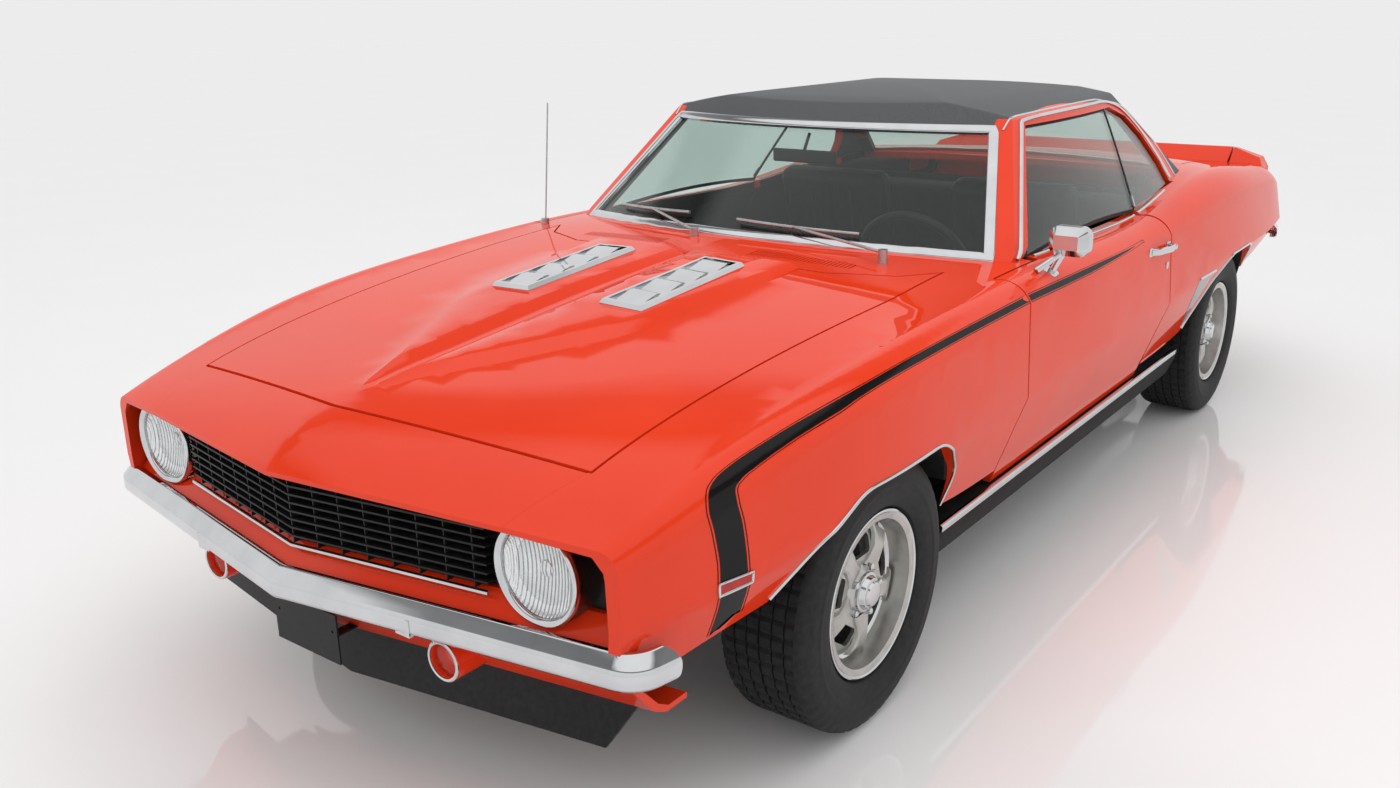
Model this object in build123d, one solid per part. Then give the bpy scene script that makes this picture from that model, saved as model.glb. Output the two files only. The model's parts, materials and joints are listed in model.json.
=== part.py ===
from build123d import *
import math
import os

# A two-door hardtop muscle car of the late 1960s, standing on its four tyres.
# Millimetres. +X is the car's left, -Y its front, +Z up; the origin is on the ground
# under the middle of the car. Panels are made on the left half and mirrored.

# ---- driving dimensions ----
WHEELBASE = 2743
FRONT_AXLE_Y = -1422
REAR_AXLE_Y = FRONT_AXLE_Y + WHEELBASE
TRACK_HALF = 757            # wheel centre plane
TYRE_RADIUS = 318
TYRE_HALF_WIDTH = 115
RIM_RADIUS = 195            # flange of a 14 inch rim
RIM_HALF_WIDTH = 98
KINGPIN_X = 690
UPPER_ARM_Z = 452
LOWER_ARM_Z = 262
ARM_END_RADIUS = 15
SPINDLE_RADIUS = 17
SPINDLE_END_X = TRACK_HALF + 70
WHEELHOUSE_RADIUS = 372
SEAT_X = 358
STEERING_CENTRE = Vector(358, -300, 800)
STEERING_AXIS = Vector(0, 0.936, 0.351).normalized()
STEER_CLEAR_X = 440         # inner wall of the front wheelhouse
SHUT_GAP = 6                # between a door or lid and its neighbours
PANEL_GAP = 0.3             # between fixed panels
FENDER_WALL = 28
TOP_WALL = 26
DOOR_WALL = 118
ROOF_WALL = 34
GLASS_INSET = 9
GLASS_THICKNESS = 5
BELT_Z = 893                # lower edge of the side glass
ROOF_TOP_Z = 1318
ROOF_EDGE_RADIUS = 26
FLOOR_Z = 262
BOOT_Z = 430                # underside of the boot floor
FLOOR_THICKNESS = 22
FIREWALL_Y = -740
DOOR_FRONT_Y = -722
DOOR_REAR_Y = 478
DOOR_SILL_Z = 345
DOOR_HINGE_X = 906          # in the skin at the seam, so the shut line opens clear
DOOR_STRAP_HEIGHTS = (560, 780)
DOOR_STRAP_X = (795, 840)
PILLAR_X = 782              # outer face of the front door pillar
HOOD_NOSE_Y = -2161
HOOD_CORNER_X = 612
HOOD_CORNER_Y = -2067
HOOD_REAR_Y = -985
HOOD_REAR_SIDE_Y = -775
HOOD_REAR_CORNER = (668, HOOD_REAR_SIDE_Y)
HOOD_LINK_X = 606           # inner face of the hood's hinge plates
DECK_FRONT_Y = 1408
DECK_REAR_Y = 2222
DECK_HALF_WIDTH = 640
DECK_LINK_X = 500           # inner face of the trunk lid's hinge plates
LINK_THICKNESS = 6          # stamped hinge plates
ARCH_TOP_FRONT = 626
ARCH_TOP_REAR = 648
NOSE_SWEEP = 0.165          # the nose's V in plan, mm back per mm of width
BUMPER_Z = 480              # middle of the front bumper's blade
REAR_BUMPER_Z = 590
LAMP_X = 600
LAMP_Z = 614
LAMP_Y = -2208              # front rim of the headlamp's bucket
LAMP_RADIUS = 102
LENS_RADIUS = 86
TURN_LAMP_X = 378
TURN_LAMP_Z = 384
TURN_LAMP_Y = -2250         # front rim of the turn lamp's cup
TURN_LAMP_RADIUS = 43
GRILLE_LOW_Z = 546
GRILLE_HIGH_Z = 690
GRILLE_Y = -2262            # front of the grille's back plate, at the middle
GRILLE_DEPTH = 34
GRILLE_HALF_WIDTH = 480
GRILLE_BARS = 7
GRILLE_UPRIGHTS = 15
GRILLE_PITCH = 64
BULGE_RISE = 15             # height of the hood's raised middle
LOUVRE_LENGTH = 424
LOUVRE_WIDTH = 130
LOUVRE_MIDDLE = (183, -1263)
LOUVRE_PORTS = 4
LOUVRE_RISE = 10
LOUVRE_BASE_Z = 912         # hood surface under the middle of a stack
VENT_SLOTS = 26
VENT_PITCH = 12
PLATE_BOLT_SPACING = 178
PLATE_BOLT_RADIUS = 3.5
WHEEL_WINDOWS = 5

# ---- body sections, on planes that sweep back by "sweep" mm for each mm of width ----
# y at the centre, sweep, bottom x, bottom z, widest x, widest z,
# shoulder x, shoulder z, top x, top z, centre z, share of the crown's drop at mid-width
BODY_SECTIONS = (
    (-2337, 0.165, 770, 430, 795, 545, 792, 655, 752, 700, 718, 0.42),
    (-2161, 0.154, 785, 415, 838, 550, 830, 690, 765, 752, 806, 0.40),
    (-1860, 0.100, 800, 395, 885, 570, 868, 765, 775, 812, 846, 0.37),
    (-1500, 0.030, 810, 375, 918, 600, 893, 810, 795, 852, 880, 0.33),
    (-1100, 0.000, 812, 350, 910, 600, 895, 834, 800, 880, 911, 0.28),
    (-720, 0.000, 815, 345, 906, 600, 895, 846, 800, 897, 935, 0.25),
    (-100, 0.000, 815, 345, 906, 600, 893, 840, 790, 893, 945, 0.25),
    (478, 0.000, 815, 345, 908, 610, 890, 836, 785, 893, 950, 0.25),
    (1000, 0.000, 812, 352, 917, 640, 893, 868, 760, 938, 960, 0.25),
    (1400, 0.000, 805, 385, 918, 650, 888, 872, 750, 945, 968, 0.25),
    (1900, -0.020, 780, 425, 898, 640, 865, 838, 738, 905, 930, 0.25),
    (2300, -0.060, 735, 480, 862, 640, 832, 790, 715, 850, 880, 0.25),
)


def on_sweep(y, sweep, x, z):
    return Vector(x, y + sweep * x, z)


def half_section(row, side_inset=0, top_inset=0, bottom=None):
    """Closed wire of the left half of one body section."""
    y, sweep, xb, zb, xw, zw, xs, zs, xt, zt, zc, crown = row
    zb = zb if bottom is None else bottom
    xb, xw, xs = xb - side_inset, xw - side_inset, xs - side_inset
    xt, zt, zc = xt - side_inset * 0.6, zt - top_inset, zc - top_inset
    zs = zs - top_inset * 0.5

    def at(x, z):
        return on_sweep(y, sweep, x, z)

    corner_x = (xs + xt) / 2 + (xs - xt) * 0.2
    corner_z = (zs + zt) / 2 + (zt - zs) * 0.2
    crown_z = zc - (zc - zt) * crown
    return Wire([
        Line(at(0, zb), at(xb, zb)).edge(),
        Line(at(xb, zb), at(xw, zw)).edge(),
        Line(at(xw, zw), at(xs, zs)).edge(),
        ThreePointArc(at(xs, zs), at(corner_x, corner_z), at(xt, zt)).edge(),
        ThreePointArc(at(xt, zt), at(xt / 2, crown_z), at(0, zc)).edge(),
        Line(at(0, zc), at(0, zb)).edge(),
    ])


def body_half(side_inset=0, top_inset=0, bottom=None):
    wires = [half_section(row, side_inset, top_inset, bottom) for row in BODY_SECTIONS]
    return Solid.make_loft(wires, ruled=False)


def box(x0, x1, y0, y1, z0, z1):
    return Pos((x0 + x1) / 2, (y0 + y1) / 2, (z0 + z1) / 2) * Box(x1 - x0, y1 - y0, z1 - z0)


def plan_prism(points, z0, z1):
    face = make_face(Polyline(*[(x, y, z0) for x, y in points], close=True))
    return extrude(face, amount=z1 - z0, dir=(0, 0, 1))


def side_prism(points, x0, x1):
    face = make_face(Polyline(*[(x0, y, z) for y, z in points], close=True))
    return extrude(face, amount=x1 - x0, dir=(1, 0, 0))


def front_prism(points, y0, y1):
    face = make_face(Polyline(*[(x, y0, z) for x, z in points], close=True))
    return extrude(face, amount=y1 - y0, dir=(0, 1, 0))


def rounded_wire(corners, place):
    """Lines and arcs through (u, v, radius) corners; place turns (u, v) into a point in space."""
    edges, last_end = [], None
    count = len(corners)
    for i, (u, v, radius) in enumerate(corners):
        here = Vector(u, v)
        start = end = here
        if radius:
            to_last = (Vector(*corners[i - 1][:2]) - here).normalized()
            to_next = (Vector(*corners[(i + 1) % count][:2]) - here).normalized()
            half = math.radians(to_last.get_angle(to_next) / 2)
            start = here + to_last * (radius / math.tan(half))
            end = here + to_next * (radius / math.tan(half))
            inward = (to_last + to_next).normalized()
            middle = here + inward * (radius / math.sin(half) - radius)
        if last_end is not None:
            edges.append(Line(place(last_end), place(start)).edge())
        else:
            first_start = start
        if radius:
            edges.append(ThreePointArc(place(start), place(middle), place(end)).edge())
        last_end = end
    edges.append(Line(place(last_end), place(first_start)).edge())
    return Wire(edges)


def rounded_side_prism(corners, x0, x1):
    face = make_face(rounded_wire(corners, lambda p: (x0, p.X, p.Y)).edges())
    return extrude(face, amount=x1 - x0, dir=(1, 0, 0))


def mirrored(shape):
    return mirror(shape, about=Plane.YZ)


def both(shape):
    return shape + mirrored(shape)


def pair(shape):
    """The left solid and its mirror image, as one compound of separate solids."""
    return Compound(children=[shape, mirrored(shape)])


def rod(x, y, z, radius, length, direction):
    return Plane(origin=(x, y, z), z_dir=direction) * Cylinder(radius, length)


# ---- regions in plan ----
HOOD_PLAN = (
    (0, HOOD_NOSE_Y), (HOOD_CORNER_X, HOOD_CORNER_Y), (670, -1044),
    HOOD_REAR_CORNER, (600, -872), (430, -955), (0, HOOD_REAR_Y),
)
HEADER_SIDE_X = 560


def grown(points, gap):
    """The same half outline, with its outer edges moved out by gap."""
    far_side = [(-x, y) for x, y in reversed(points) if x > 0]
    face = make_face(Polyline(*points, *far_side, close=True))
    return offset(face, gap, kind=Kind.INTERSECTION)


def grown_prism(points, gap, z0, z1):
    return extrude(Pos(0, 0, z0) * grown(points, gap), amount=z1 - z0, dir=(0, 0, 1))


# ---- greenhouse ----
# z, windshield middle y, windshield corner x, y, side middle x, rear corner x, y, rear middle y
GREENHOUSE = (
    (860, -850, 790, -575, 800, 735, 1330, 1480),
    (1240, -325, 606, -218, 612, 560, 800, 868),
)


def greenhouse_wire(z, inset):
    (z0, *low), (z1, *high) = GREENHOUSE
    t = (z - z0) / (z1 - z0)
    ym, xc, yc, xs, xr, yr, yrm = [a + (b - a) * t for a, b in zip(low, high)]
    ym, yc, yr, yrm = ym + inset * 1.5, yc + inset, yr - inset, yrm - inset * 1.5
    xc, xs, xr = xc - inset, xs - inset, xr - inset
    y_side = (yc + yr) / 2
    return Wire([
        ThreePointArc((-xc, yc, z), (0, ym, z), (xc, yc, z)).edge(),
        ThreePointArc((xc, yc, z), (xs, y_side, z), (xr, yr, z)).edge(),
        ThreePointArc((xr, yr, z), (0, yrm, z), (-xr, yr, z)).edge(),
        ThreePointArc((-xr, yr, z), (-xs, y_side, z), (-xc, yc, z)).edge(),
    ])


def greenhouse(inset=0, z0=860, z1=1345):
    return Solid.make_loft([greenhouse_wire(z0, inset), greenhouse_wire(z1, inset)], ruled=True)


def roof_crown(drop=0):
    """Everything under the crowned roof line."""
    top = ROOF_TOP_Z - drop
    along = side_prism_arc(
        (-900, top - 190), (150, top), (1500, top - 230), -1000, 1000, 400)
    across = front_prism_arc(
        (-760, top - 110), (0, top), (760, top - 110), -1200, 2000, 400)
    return along & across


def side_prism_arc(a, b, c, x0, x1, z_low):
    arc = ThreePointArc((x0, *a), (x0, *b), (x0, *c))
    base = Polyline((x0, *c), (x0, c[0], z_low), (x0, a[0], z_low), (x0, *a))
    return extrude(make_face(arc + base), amount=x1 - x0, dir=(1, 0, 0))


def front_prism_arc(a, b, c, y0, y1, z_low):
    def at(p):
        return (p[0], y0, p[1])
    arc = ThreePointArc(at(a), at(b), at(c))
    base = Polyline(at(c), at((c[0], z_low)), at((a[0], z_low)), at(a))
    return extrude(make_face(arc + base), amount=y1 - y0, dir=(0, 1, 0))


SIDE_WINDOW = (
    (-476, BELT_Z - 15), (-150, 1226), (640, 1222), (800, 1180), (900, 1110),
    (968, 1010), (985, 935), (600, BELT_Z - 15),
)
WINDSHIELD_OPENING = ((-712, 905), (712, 905), (566, 1222), (-566, 1222))
BACKLIGHT_PLAN = ((-640, 1322), (640, 1322), (530, 860), (-530, 860))


def inset_outline(points, gap):
    return offset(make_face(Polyline(*points, close=True)), -gap, kind=Kind.INTERSECTION)


def side_window_prism(gap, x0, x1):
    face = inset_outline(SIDE_WINDOW, gap)
    return extrude(Plane(origin=(x0, 0, 0), x_dir=(0, 1, 0), z_dir=(1, 0, 0)) * face,
                   amount=x1 - x0, dir=(1, 0, 0))


def windshield_prism(gap):
    face = inset_outline(WINDSHIELD_OPENING, gap)
    return extrude(Plane(origin=(0, -100, 0), x_dir=(1, 0, 0), z_dir=(0, -1, 0)) * face,
                   amount=900, dir=(0, -1, 0))


def backlight_prism(gap):
    return extrude(Pos(0, 0, 900) * inset_outline(BACKLIGHT_PLAN, gap), amount=500, dir=(0, 0, 1))


def pane():
    return greenhouse(GLASS_INSET) - greenhouse(GLASS_INSET + GLASS_THICKNESS)


# ---- panels ----
# the wheel openings: distance behind the axle, z, corner radius
FRONT_ARCH = (
    (-472, 230, 0), (-456, 392, 60), (-290, 560, 170), (-150, ARCH_TOP_FRONT, 160),
    (205, ARCH_TOP_FRONT, 130), (352, 500, 110), (345, 230, 0),
)
REAR_ARCH = (
    (-415, 250, 0), (-402, 430, 80), (-272, 570, 160), (-110, ARCH_TOP_REAR, 150),
    (190, ARCH_TOP_REAR, 130), (335, 520, 110), (356, 250, 0),
)


def arch(axle_y, outline, x0):
    """A wheel opening, cut right through the side."""
    return rounded_side_prism([(axle_y + dy, z, radius) for dy, z, radius in outline], x0, 1000)


FENDER_INSET = (FENDER_WALL, TOP_WALL, 200)


def whole(half):
    return half + mirrored(half)


def header_region(gap=0):
    """Plan region of the header panel, ahead of the hood and between the lamps' tops."""
    return plan_prism(((-1, -2600), (HEADER_SIDE_X + 20 - gap, -2600), (HEADER_SIDE_X - gap, -2240),
                       (HOOD_CORNER_X - gap, HOOD_CORNER_Y), (-1, -2000)), 500, 1200)


def cowl_region(gap=0):
    """Plan region between the hood's rear edge and the windshield's foot."""
    return plan_prism(((-1, -1100), (430, -1100), (790 - gap, -756), (790 - gap, -716),
                       (790 - gap, -470), (-1, -470)), 600, 1200)


def front_mouth():
    """The opening under the nose's thin lip, from lamp to lamp."""
    return front_prism(((-1, 530), (740, 530), (764, 570), (762, 660), (740, 686), (560, 696),
                        (-1, 708)), -2400, -2150)


def cowl_vents():
    """The row of air slots ahead of the windshield's foot; they lengthen toward the middle."""
    slots = []
    for i in range(VENT_SLOTS):
        x = 160 + VENT_PITCH * i
        slots.append(box(x - 2.5, x + 2.5, -908 + i * 0.9, -848 + i * 0.2, 800, 1000))
    return Compound(children=slots)


def make_fender(outer, shell):
    keep = box(300, 1000, -2400, DOOR_FRONT_Y - SHUT_GAP, 0, 1200)
    nose = plan_prism(((-1, -2600), (1000, -2600), (1000, -2172), (-1, -2337)), 0, 1200)
    lower = box(300, 1000, -2400, -2150, 300, 442)
    return (shell & keep) - grown_prism(HOOD_PLAN, SHUT_GAP, 0, 1200) - header_region(-PANEL_GAP) \
        - nose - front_mouth() - lower - arch(FRONT_AXLE_Y, FRONT_ARCH, 480) - cowl_region(-PANEL_GAP)


def make_header(shell):
    keep = header_region() & box(-1, 1000, -2337.5, -1900, 500, 1200)
    half = (shell & keep) - grown_prism(HOOD_PLAN, SHUT_GAP + 2, 0, 1200) - front_mouth()
    return whole(half)


def make_hood(outer):
    skin = outer - body_half(20, 30, 200)
    half = (skin + hood_bulge(outer)) & grown_prism(HOOD_PLAN, 0, 500, 1200)
    link = box(HOOD_LINK_X, HOOD_LINK_X + LINK_THICKNESS, HOOD_REAR_SIDE_Y - 200,
               HOOD_REAR_SIDE_Y - 120, 790, 890) & body_half(20, 15, 200)
    return whole(half + link)


def hood_brackets():
    """Plates on the firewall that the hood's hinge plates lie against."""
    x = HOOD_LINK_X - PANEL_GAP
    return both(box(x - LINK_THICKNESS, x, HOOD_REAR_SIDE_Y - 190, FIREWALL_Y - 10, 780, 850))


# the raised middle of the hood in plan, its front tip on the crease
BULGE_PLAN = ((-1, -2120), (40, -2070), (312, -1540), (352, -1040), (356, -930), (-1, -900))
HOOD_TILT = 5.2             # mean slope of the hood, degrees
HOOD_MIDDLE = (0, -1500, 880)
BULGE_TAPER = 62


def hood_bulge(outer):
    """A low raised middle with sloped sides, standing on the hood."""
    tilted = Plane(origin=HOOD_MIDDLE, x_dir=(1, 0, 0),
                   z_dir=(0, -math.sin(math.radians(HOOD_TILT)), math.cos(math.radians(HOOD_TILT))))
    plan = make_face(Polyline(*[(x, y - HOOD_MIDDLE[1]) for x, y in BULGE_PLAN], close=True))
    foot = tilted * Pos(0, 0, -12) * plan
    wedge = extrude(foot, amount=60, taper=BULGE_TAPER) + extrude(foot, amount=-20)
    return (body_half(0, -BULGE_RISE) - body_half(20, 8, 200)) & wedge & box(0, 400, -2200, -900, 700, 1100)


def make_louvres():
    """One chrome stack: a bevelled frame round a plate with four raised ports, each open behind."""
    length, width, rise = LOUVRE_LENGTH, LOUVRE_WIDTH, LOUVRE_RISE
    frame = extrude(Rectangle(width, length), amount=rise, taper=30) \
        - Pos(0, 0, rise / 2 + 3) * Box(width - 30, length - 30, rise)
    stack = frame + Pos(0, 0, -9) * Box(width, length, 18.1)
    pitch = (length - 34) / LOUVRE_PORTS
    scoop_length = pitch * 0.82
    for i in range(LOUVRE_PORTS):
        y = -length / 2 + 17 + pitch * (i + 0.5)
        scoop = side_prism(((-scoop_length / 2, 2), (scoop_length * 0.3, rise + 3),
                            (scoop_length / 2, rise), (scoop_length / 2 - 14, 2)), -40, 40)
        stack += Pos(0, y, 0) * scoop
    return stack


def place_louvres(stack, hood):
    """Lays the left stack on the hood's slope, and cuts away what would sink into it."""
    x, y = LOUVRE_MIDDLE
    lie = Plane(origin=(x, y, LOUVRE_BASE_Z), x_dir=(1, 0, -0.03), z_dir=(0.03, -0.08, 1))
    return pair(lie * stack - hood)


def v_plate(x_half, y_centre, thickness, z0, z1, sweep=0.165):
    """A plate that follows the nose's shallow V in plan."""
    y_side = y_centre + sweep * x_half
    return plan_prism(((-x_half, y_side), (0, y_centre), (x_half, y_side),
                       (x_half, y_side + thickness), (0, y_centre + thickness),
                       (-x_half, y_side + thickness)), z0, z1)


def swept_half(points, x_end, x_start=0):
    """A side profile of (y, z) points, extruded outward along the nose's sweep."""
    direction = Vector(1, NOSE_SWEEP, 0)
    face = make_face(Polyline(*[(0, y, z) for y, z in points], close=True))
    solid = extrude(face, amount=x_end * direction.length, dir=tuple(direction.normalized()))
    return solid & box(x_start, x_end, -3000, 3000, 0, 1500) if x_start else solid


VALANCE_PROFILE = (
    (-2236, 546), (-2274, 546), (-2314, 506), (-2306, 432), (-2226, 340), (-2190, 322),
    (-2130, 322), (-2130, 334), (-2186, 334), (-2216, 352), (-2294, 438), (-2301, 500),
    (-2268, 532), (-2236, 532),
)


def make_valance():
    """The panel under the mouth: a sloped shelf, a front, a tucked lower edge and two lamp cups."""
    x, y, z, radius = TURN_LAMP_X, TURN_LAMP_Y, TURN_LAMP_Z, TURN_LAMP_RADIUS
    panel = whole(swept_half(VALANCE_PROFILE, 772)) + both(rod(x, y + 44, z, radius, 88, (0, 1, 0)))
    slots = both(box(330 - 24, 330 + 24, -2400, -2100, 443, 487))
    cups = both(rod(x, y + 5, z, radius - 8, 26, (0, 1, 0)))
    lamp_seats = both(rod(LAMP_X, LAMP_Y, LAMP_Z, LAMP_RADIUS + PANEL_GAP, 400, (0, 1, 0)))
    return panel - slots - cups - lamp_seats


def make_grille():
    """An egg-crate of bars and uprights on a thin back plate, bent to the nose's V."""
    front = GRILLE_Y - GRILLE_DEPTH
    grille = v_plate(745, GRILLE_Y, 4, GRILLE_LOW_Z + PANEL_GAP, GRILLE_HIGH_Z)
    pitch = (GRILLE_HIGH_Z - GRILLE_LOW_Z) / (GRILLE_BARS + 1)
    for i in range(1, GRILLE_BARS + 1):
        z = GRILLE_LOW_Z + pitch * i
        grille += v_plate(GRILLE_HALF_WIDTH, front, GRILLE_DEPTH + 1, z - 2, z + 2)
    for i in range(GRILLE_UPRIGHTS):
        x = (i - (GRILLE_UPRIGHTS - 1) / 2) * GRILLE_PITCH
        y = front + NOSE_SWEEP * abs(x) + 3
        grille += box(x - 1.5, x + 1.5, y, y + GRILLE_DEPTH - 2, GRILLE_LOW_Z + 2, GRILLE_HIGH_Z - 8)
    return grille


def domed_lens(x, y, z, radius, rise, depth):
    """A round lens on an axis along Y, bulging forward; y is its foremost point."""
    ball = (radius ** 2 + rise ** 2) / (2 * rise)
    return rod(x, y + depth / 2, z, radius, depth, (0, 1, 0)) & (Pos(x, y + ball, z) * Sphere(ball))


def make_headlamps():
    """The left headlamp with its bucket and domed lens, and the turn lamp's lens below it."""
    y = LAMP_Y
    bucket = rod(LAMP_X, y + 29, LAMP_Z, LAMP_RADIUS, 58, (0, 1, 0)) \
        - rod(LAMP_X, y + 14, LAMP_Z, LAMP_RADIUS - 6, 32, (0, 1, 0))
    behind = v_plate(745, GRILLE_Y - PANEL_GAP, 120, 400, 800)
    lamp = bucket + domed_lens(LAMP_X, y + 4, LAMP_Z, LENS_RADIUS, 20, 40)
    lamp = (lamp - behind) & box(0, 1000, -2400, -2100, 400, 690)
    rim = TURN_LAMP_RADIUS - 8 - PANEL_GAP
    face = Plane(origin=(TURN_LAMP_X, TURN_LAMP_Y + 8, TURN_LAMP_Z), z_dir=(0, -1, 0)) * Circle(rim)
    lens = extrude(face, amount=4, dir=(0, -1, 0), taper=60) + extrude(face, amount=9.7, dir=(0, 1, 0))
    return [lamp, lens]


# the bumper blade in section: distance out, height; its front has an upper and a lower face
BLADE_OUTSIDE = ((-34, 34, 0), (-26, 34, 7), (-1, 8, 16), (-1, -24, 12), (-12, -34, 6), (-30, -34, 0))
BLADE_INSIDE = ((-30, -29, 0), (-14, -29, 0), (-6, -22, 0), (-6, 5, 0), (-28, 29, 0), (-34, 29, 0))


def make_blade(corner, end, z, slope, side):
    """Half of a bumper: the blade's section swept along the bumper's plan, with a rounded end.
    side is -1 at the front of the car and 1 at the rear."""
    start = Vector(-20, corner[1] - slope * (corner[0] + 20), z)
    path = FilletPolyline(start, (*corner, z), (*end, z), radius=84)
    along = Vector(1, slope, 0).normalized()
    out = Vector(-slope * side, side, 0).normalized()
    section = Plane(origin=start, x_dir=out, z_dir=along)
    corners = [(u, v * side, r) for u, v, r in BLADE_OUTSIDE + BLADE_INSIDE]
    face = make_face(rounded_wire(corners, lambda p: section.from_local_coords((p.X, p.Y, 0))).edges())
    blade = sweep(face, path=path)
    y_end = end[1]
    kept = rounded_side_prism([(side * 2500, z - 40, 0), (y_end, z - 34, 30), (y_end, z + 34, 26),
                               (side * 2500, z + 40, 0)], -1, 1000)
    return blade & kept & box(-0.01, 1000, -3000, 3000, 0, 1500)


def make_front_bumper():
    blade = make_blade((838, -2360 + NOSE_SWEEP * 838), (858, -2122), BUMPER_Z, NOSE_SWEEP, -1)
    bracket = box(310, 350, -2303, -1990, 447, 483)
    return whole(blade + bracket)


def make_chin():
    """The black air dam, swept to the V, with slanted ends, and the bracket for a plate ahead of it."""
    profile = ((-2168, 322 - PANEL_GAP), (-2196, 206), (-2188, 204), (-2156, 322 - PANEL_GAP))
    slant = front_prism(((-1, 150), (606, 150), (712, 330), (-1, 330)), -2400, -1900)
    return whole(swept_half(profile, 720) & slant)


def make_plate_bracket():
    plate = box(-104, 104, -2290, -2286, 300, 412)
    feet = both(box(60, 84, -2288, -2221, 352, 356))
    bolt_holes = both(rod(PLATE_BOLT_SPACING / 2, -2288, 372, PLATE_BOLT_RADIUS, 40, (0, 1, 0)))
    return plate + feet - bolt_holes


def make_quarter(outer, shell):
    keep = box(300, 1000, DOOR_REAR_Y, 2236, 0, 1200)
    deck = box(-1, DECK_HALF_WIDTH + SHUT_GAP, 1180, 2400, 600, 1200)
    cabin = box(-1, 735, 400, 990, 200, 1200) + box(-1, 660, 980, 1181, 200, 1200)
    opening = arch(REAR_AXLE_Y, REAR_ARCH, 540)
    panel = (shell & keep) - deck - cabin - opening - box(0, 1000, 400, 940, 0, 345)
    return panel + spoiler_end()


SPOILER_PROFILE = ((2120, 860), (2236, 850), (2236, 938), (2205, 942))


def spoiler_end():
    """The spoiler's outer end, sloping down onto the side of the tail."""
    profile = side_prism(((2100, 780), (2236, 780), *SPOILER_PROFILE[2:], SPOILER_PROFILE[0]), 600, 900)
    front = front_prism(((DECK_HALF_WIDTH + SHUT_GAP, 780), (790, 780), (790, 862), (765, 905),
                         (DECK_HALF_WIDTH + SHUT_GAP, 942)), 2000, 2300)
    return (profile & front) - body_half(FENDER_WALL - 5, TOP_WALL - 5, 200)


def make_deck_filler(outer):
    skin = outer - body_half(20, TOP_WALL, 200)
    half = skin & box(-1, DECK_HALF_WIDTH + SHUT_GAP - PANEL_GAP, 1180 + PANEL_GAP,
                      DECK_FRONT_Y - SHUT_GAP, 600, 1200)
    x = DECK_LINK_X - PANEL_GAP
    plate = box(x - LINK_THICKNESS, x, DECK_FRONT_Y - 90, DECK_FRONT_Y - 30, 860, 950) \
        + box(x - LINK_THICKNESS, x, DECK_FRONT_Y - 50, DECK_FRONT_Y + 60, 860, 915)
    return whole(half + (plate & body_half(20, 15, 200)))


def make_trunk_lid(outer):
    skin = outer - body_half(20, 30, 200)
    half = skin & box(-1, DECK_HALF_WIDTH, DECK_FRONT_Y, DECK_REAR_Y, 600, 1200)
    link = box(DECK_LINK_X, DECK_LINK_X + LINK_THICKNESS, DECK_FRONT_Y + 10, DECK_FRONT_Y + 90, 865, 950)
    half = half + (link & body_half(20, 15, 200))
    spoiler = side_prism(((2120, 880), (2222, 870), (2222, 942), (2205, 942)), -1, DECK_HALF_WIDTH)
    return whole(half + (spoiler - body_half(20, 10, 200)))


def make_tail(outer):
    half = outer & box(-1, 1000, 2236 + PANEL_GAP, 2400, 0, 1200)
    recess = plan_prism(((-1, 2290), (650, 2251), (650, 2320), (-1, 2320)), 668, 792)
    return whole(half - recess)


def make_rear_bumper():
    blade = make_blade((846, 2334), (874, 2176), REAR_BUMPER_Z, -0.032, 1)
    return whole(blade + box(320, 360, 2281, 2347, 570, 610))


def make_tail_lamps():
    return pair(plan_prism(((300, 2272.3), (620, 2253.1), (620, 2265), (300, 2284.2)), 680, 780))


def make_door(outer, glass):
    plan = plan_prism(((745, -430), (796, -430), (796, DOOR_FRONT_Y), (1000, DOOR_FRONT_Y),
                       (1000, DOOR_REAR_Y - SHUT_GAP), (906, DOOR_REAR_Y - SHUT_GAP),
                       (745, DOOR_REAR_Y - 26)), DOOR_SILL_Z, 1200)
    inner_x = DOOR_HINGE_X - DOOR_WALL
    wall = front_prism(((745, 1200), (745, 855), (inner_x, 800), (inner_x, 300), (1000, 300),
                        (1000, 1200)), DOOR_FRONT_Y - 10, DOOR_REAR_Y + 10)
    straps = [box(*DOOR_STRAP_X, DOOR_FRONT_Y - 26, DOOR_FRONT_Y + 2,
                  z + PANEL_GAP, z + PANEL_GAP + LINK_THICKNESS) for z in DOOR_STRAP_HEIGHTS]
    return (outer & plan & wall) + straps - glass


B_LINE = ((1300, 622), (893, 466))         # z and y of the door pane's rear edge


def make_side_glass(panes):
    """The door's pane and the quarter pane, split along the line of the rear shut."""
    (z_high, y_high), (z_low, y_low) = B_LINE
    opening = side_window_prism(5, 500, 900) + box(500, 900, -440, 930, BELT_Z - 30, BELT_Z + 8)
    ahead = side_prism(((-900, 800), (y_low, 800), (y_low, z_low), (y_high, z_high),
                        (-900, z_high)), 400, 950)
    behind = side_prism(((y_low + 18, 800), (1200, 800), (1200, z_high), (y_high + 7, z_high),
                         (y_low + 7, z_low), (y_low + 18, z_low - 4)), 400, 950)
    return panes & opening & ahead, panes & opening & behind


def softened(house):
    """Rounds the roof's edge above the glass."""
    return fillet([edge for edge in house.edges() if edge.bounding_box().min.Z > 1200], ROOF_EDGE_RADIUS)


def make_roof(outer_both):
    outside = softened(greenhouse() & roof_crown())
    inside = greenhouse(ROOF_WALL, 800) & roof_crown(ROOF_WALL)
    shell = outside - inside - outer_both
    shell = shell - side_window_prism(0, -1000, 1000)
    return shell - windshield_prism(0) - backlight_prism(0)


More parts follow.
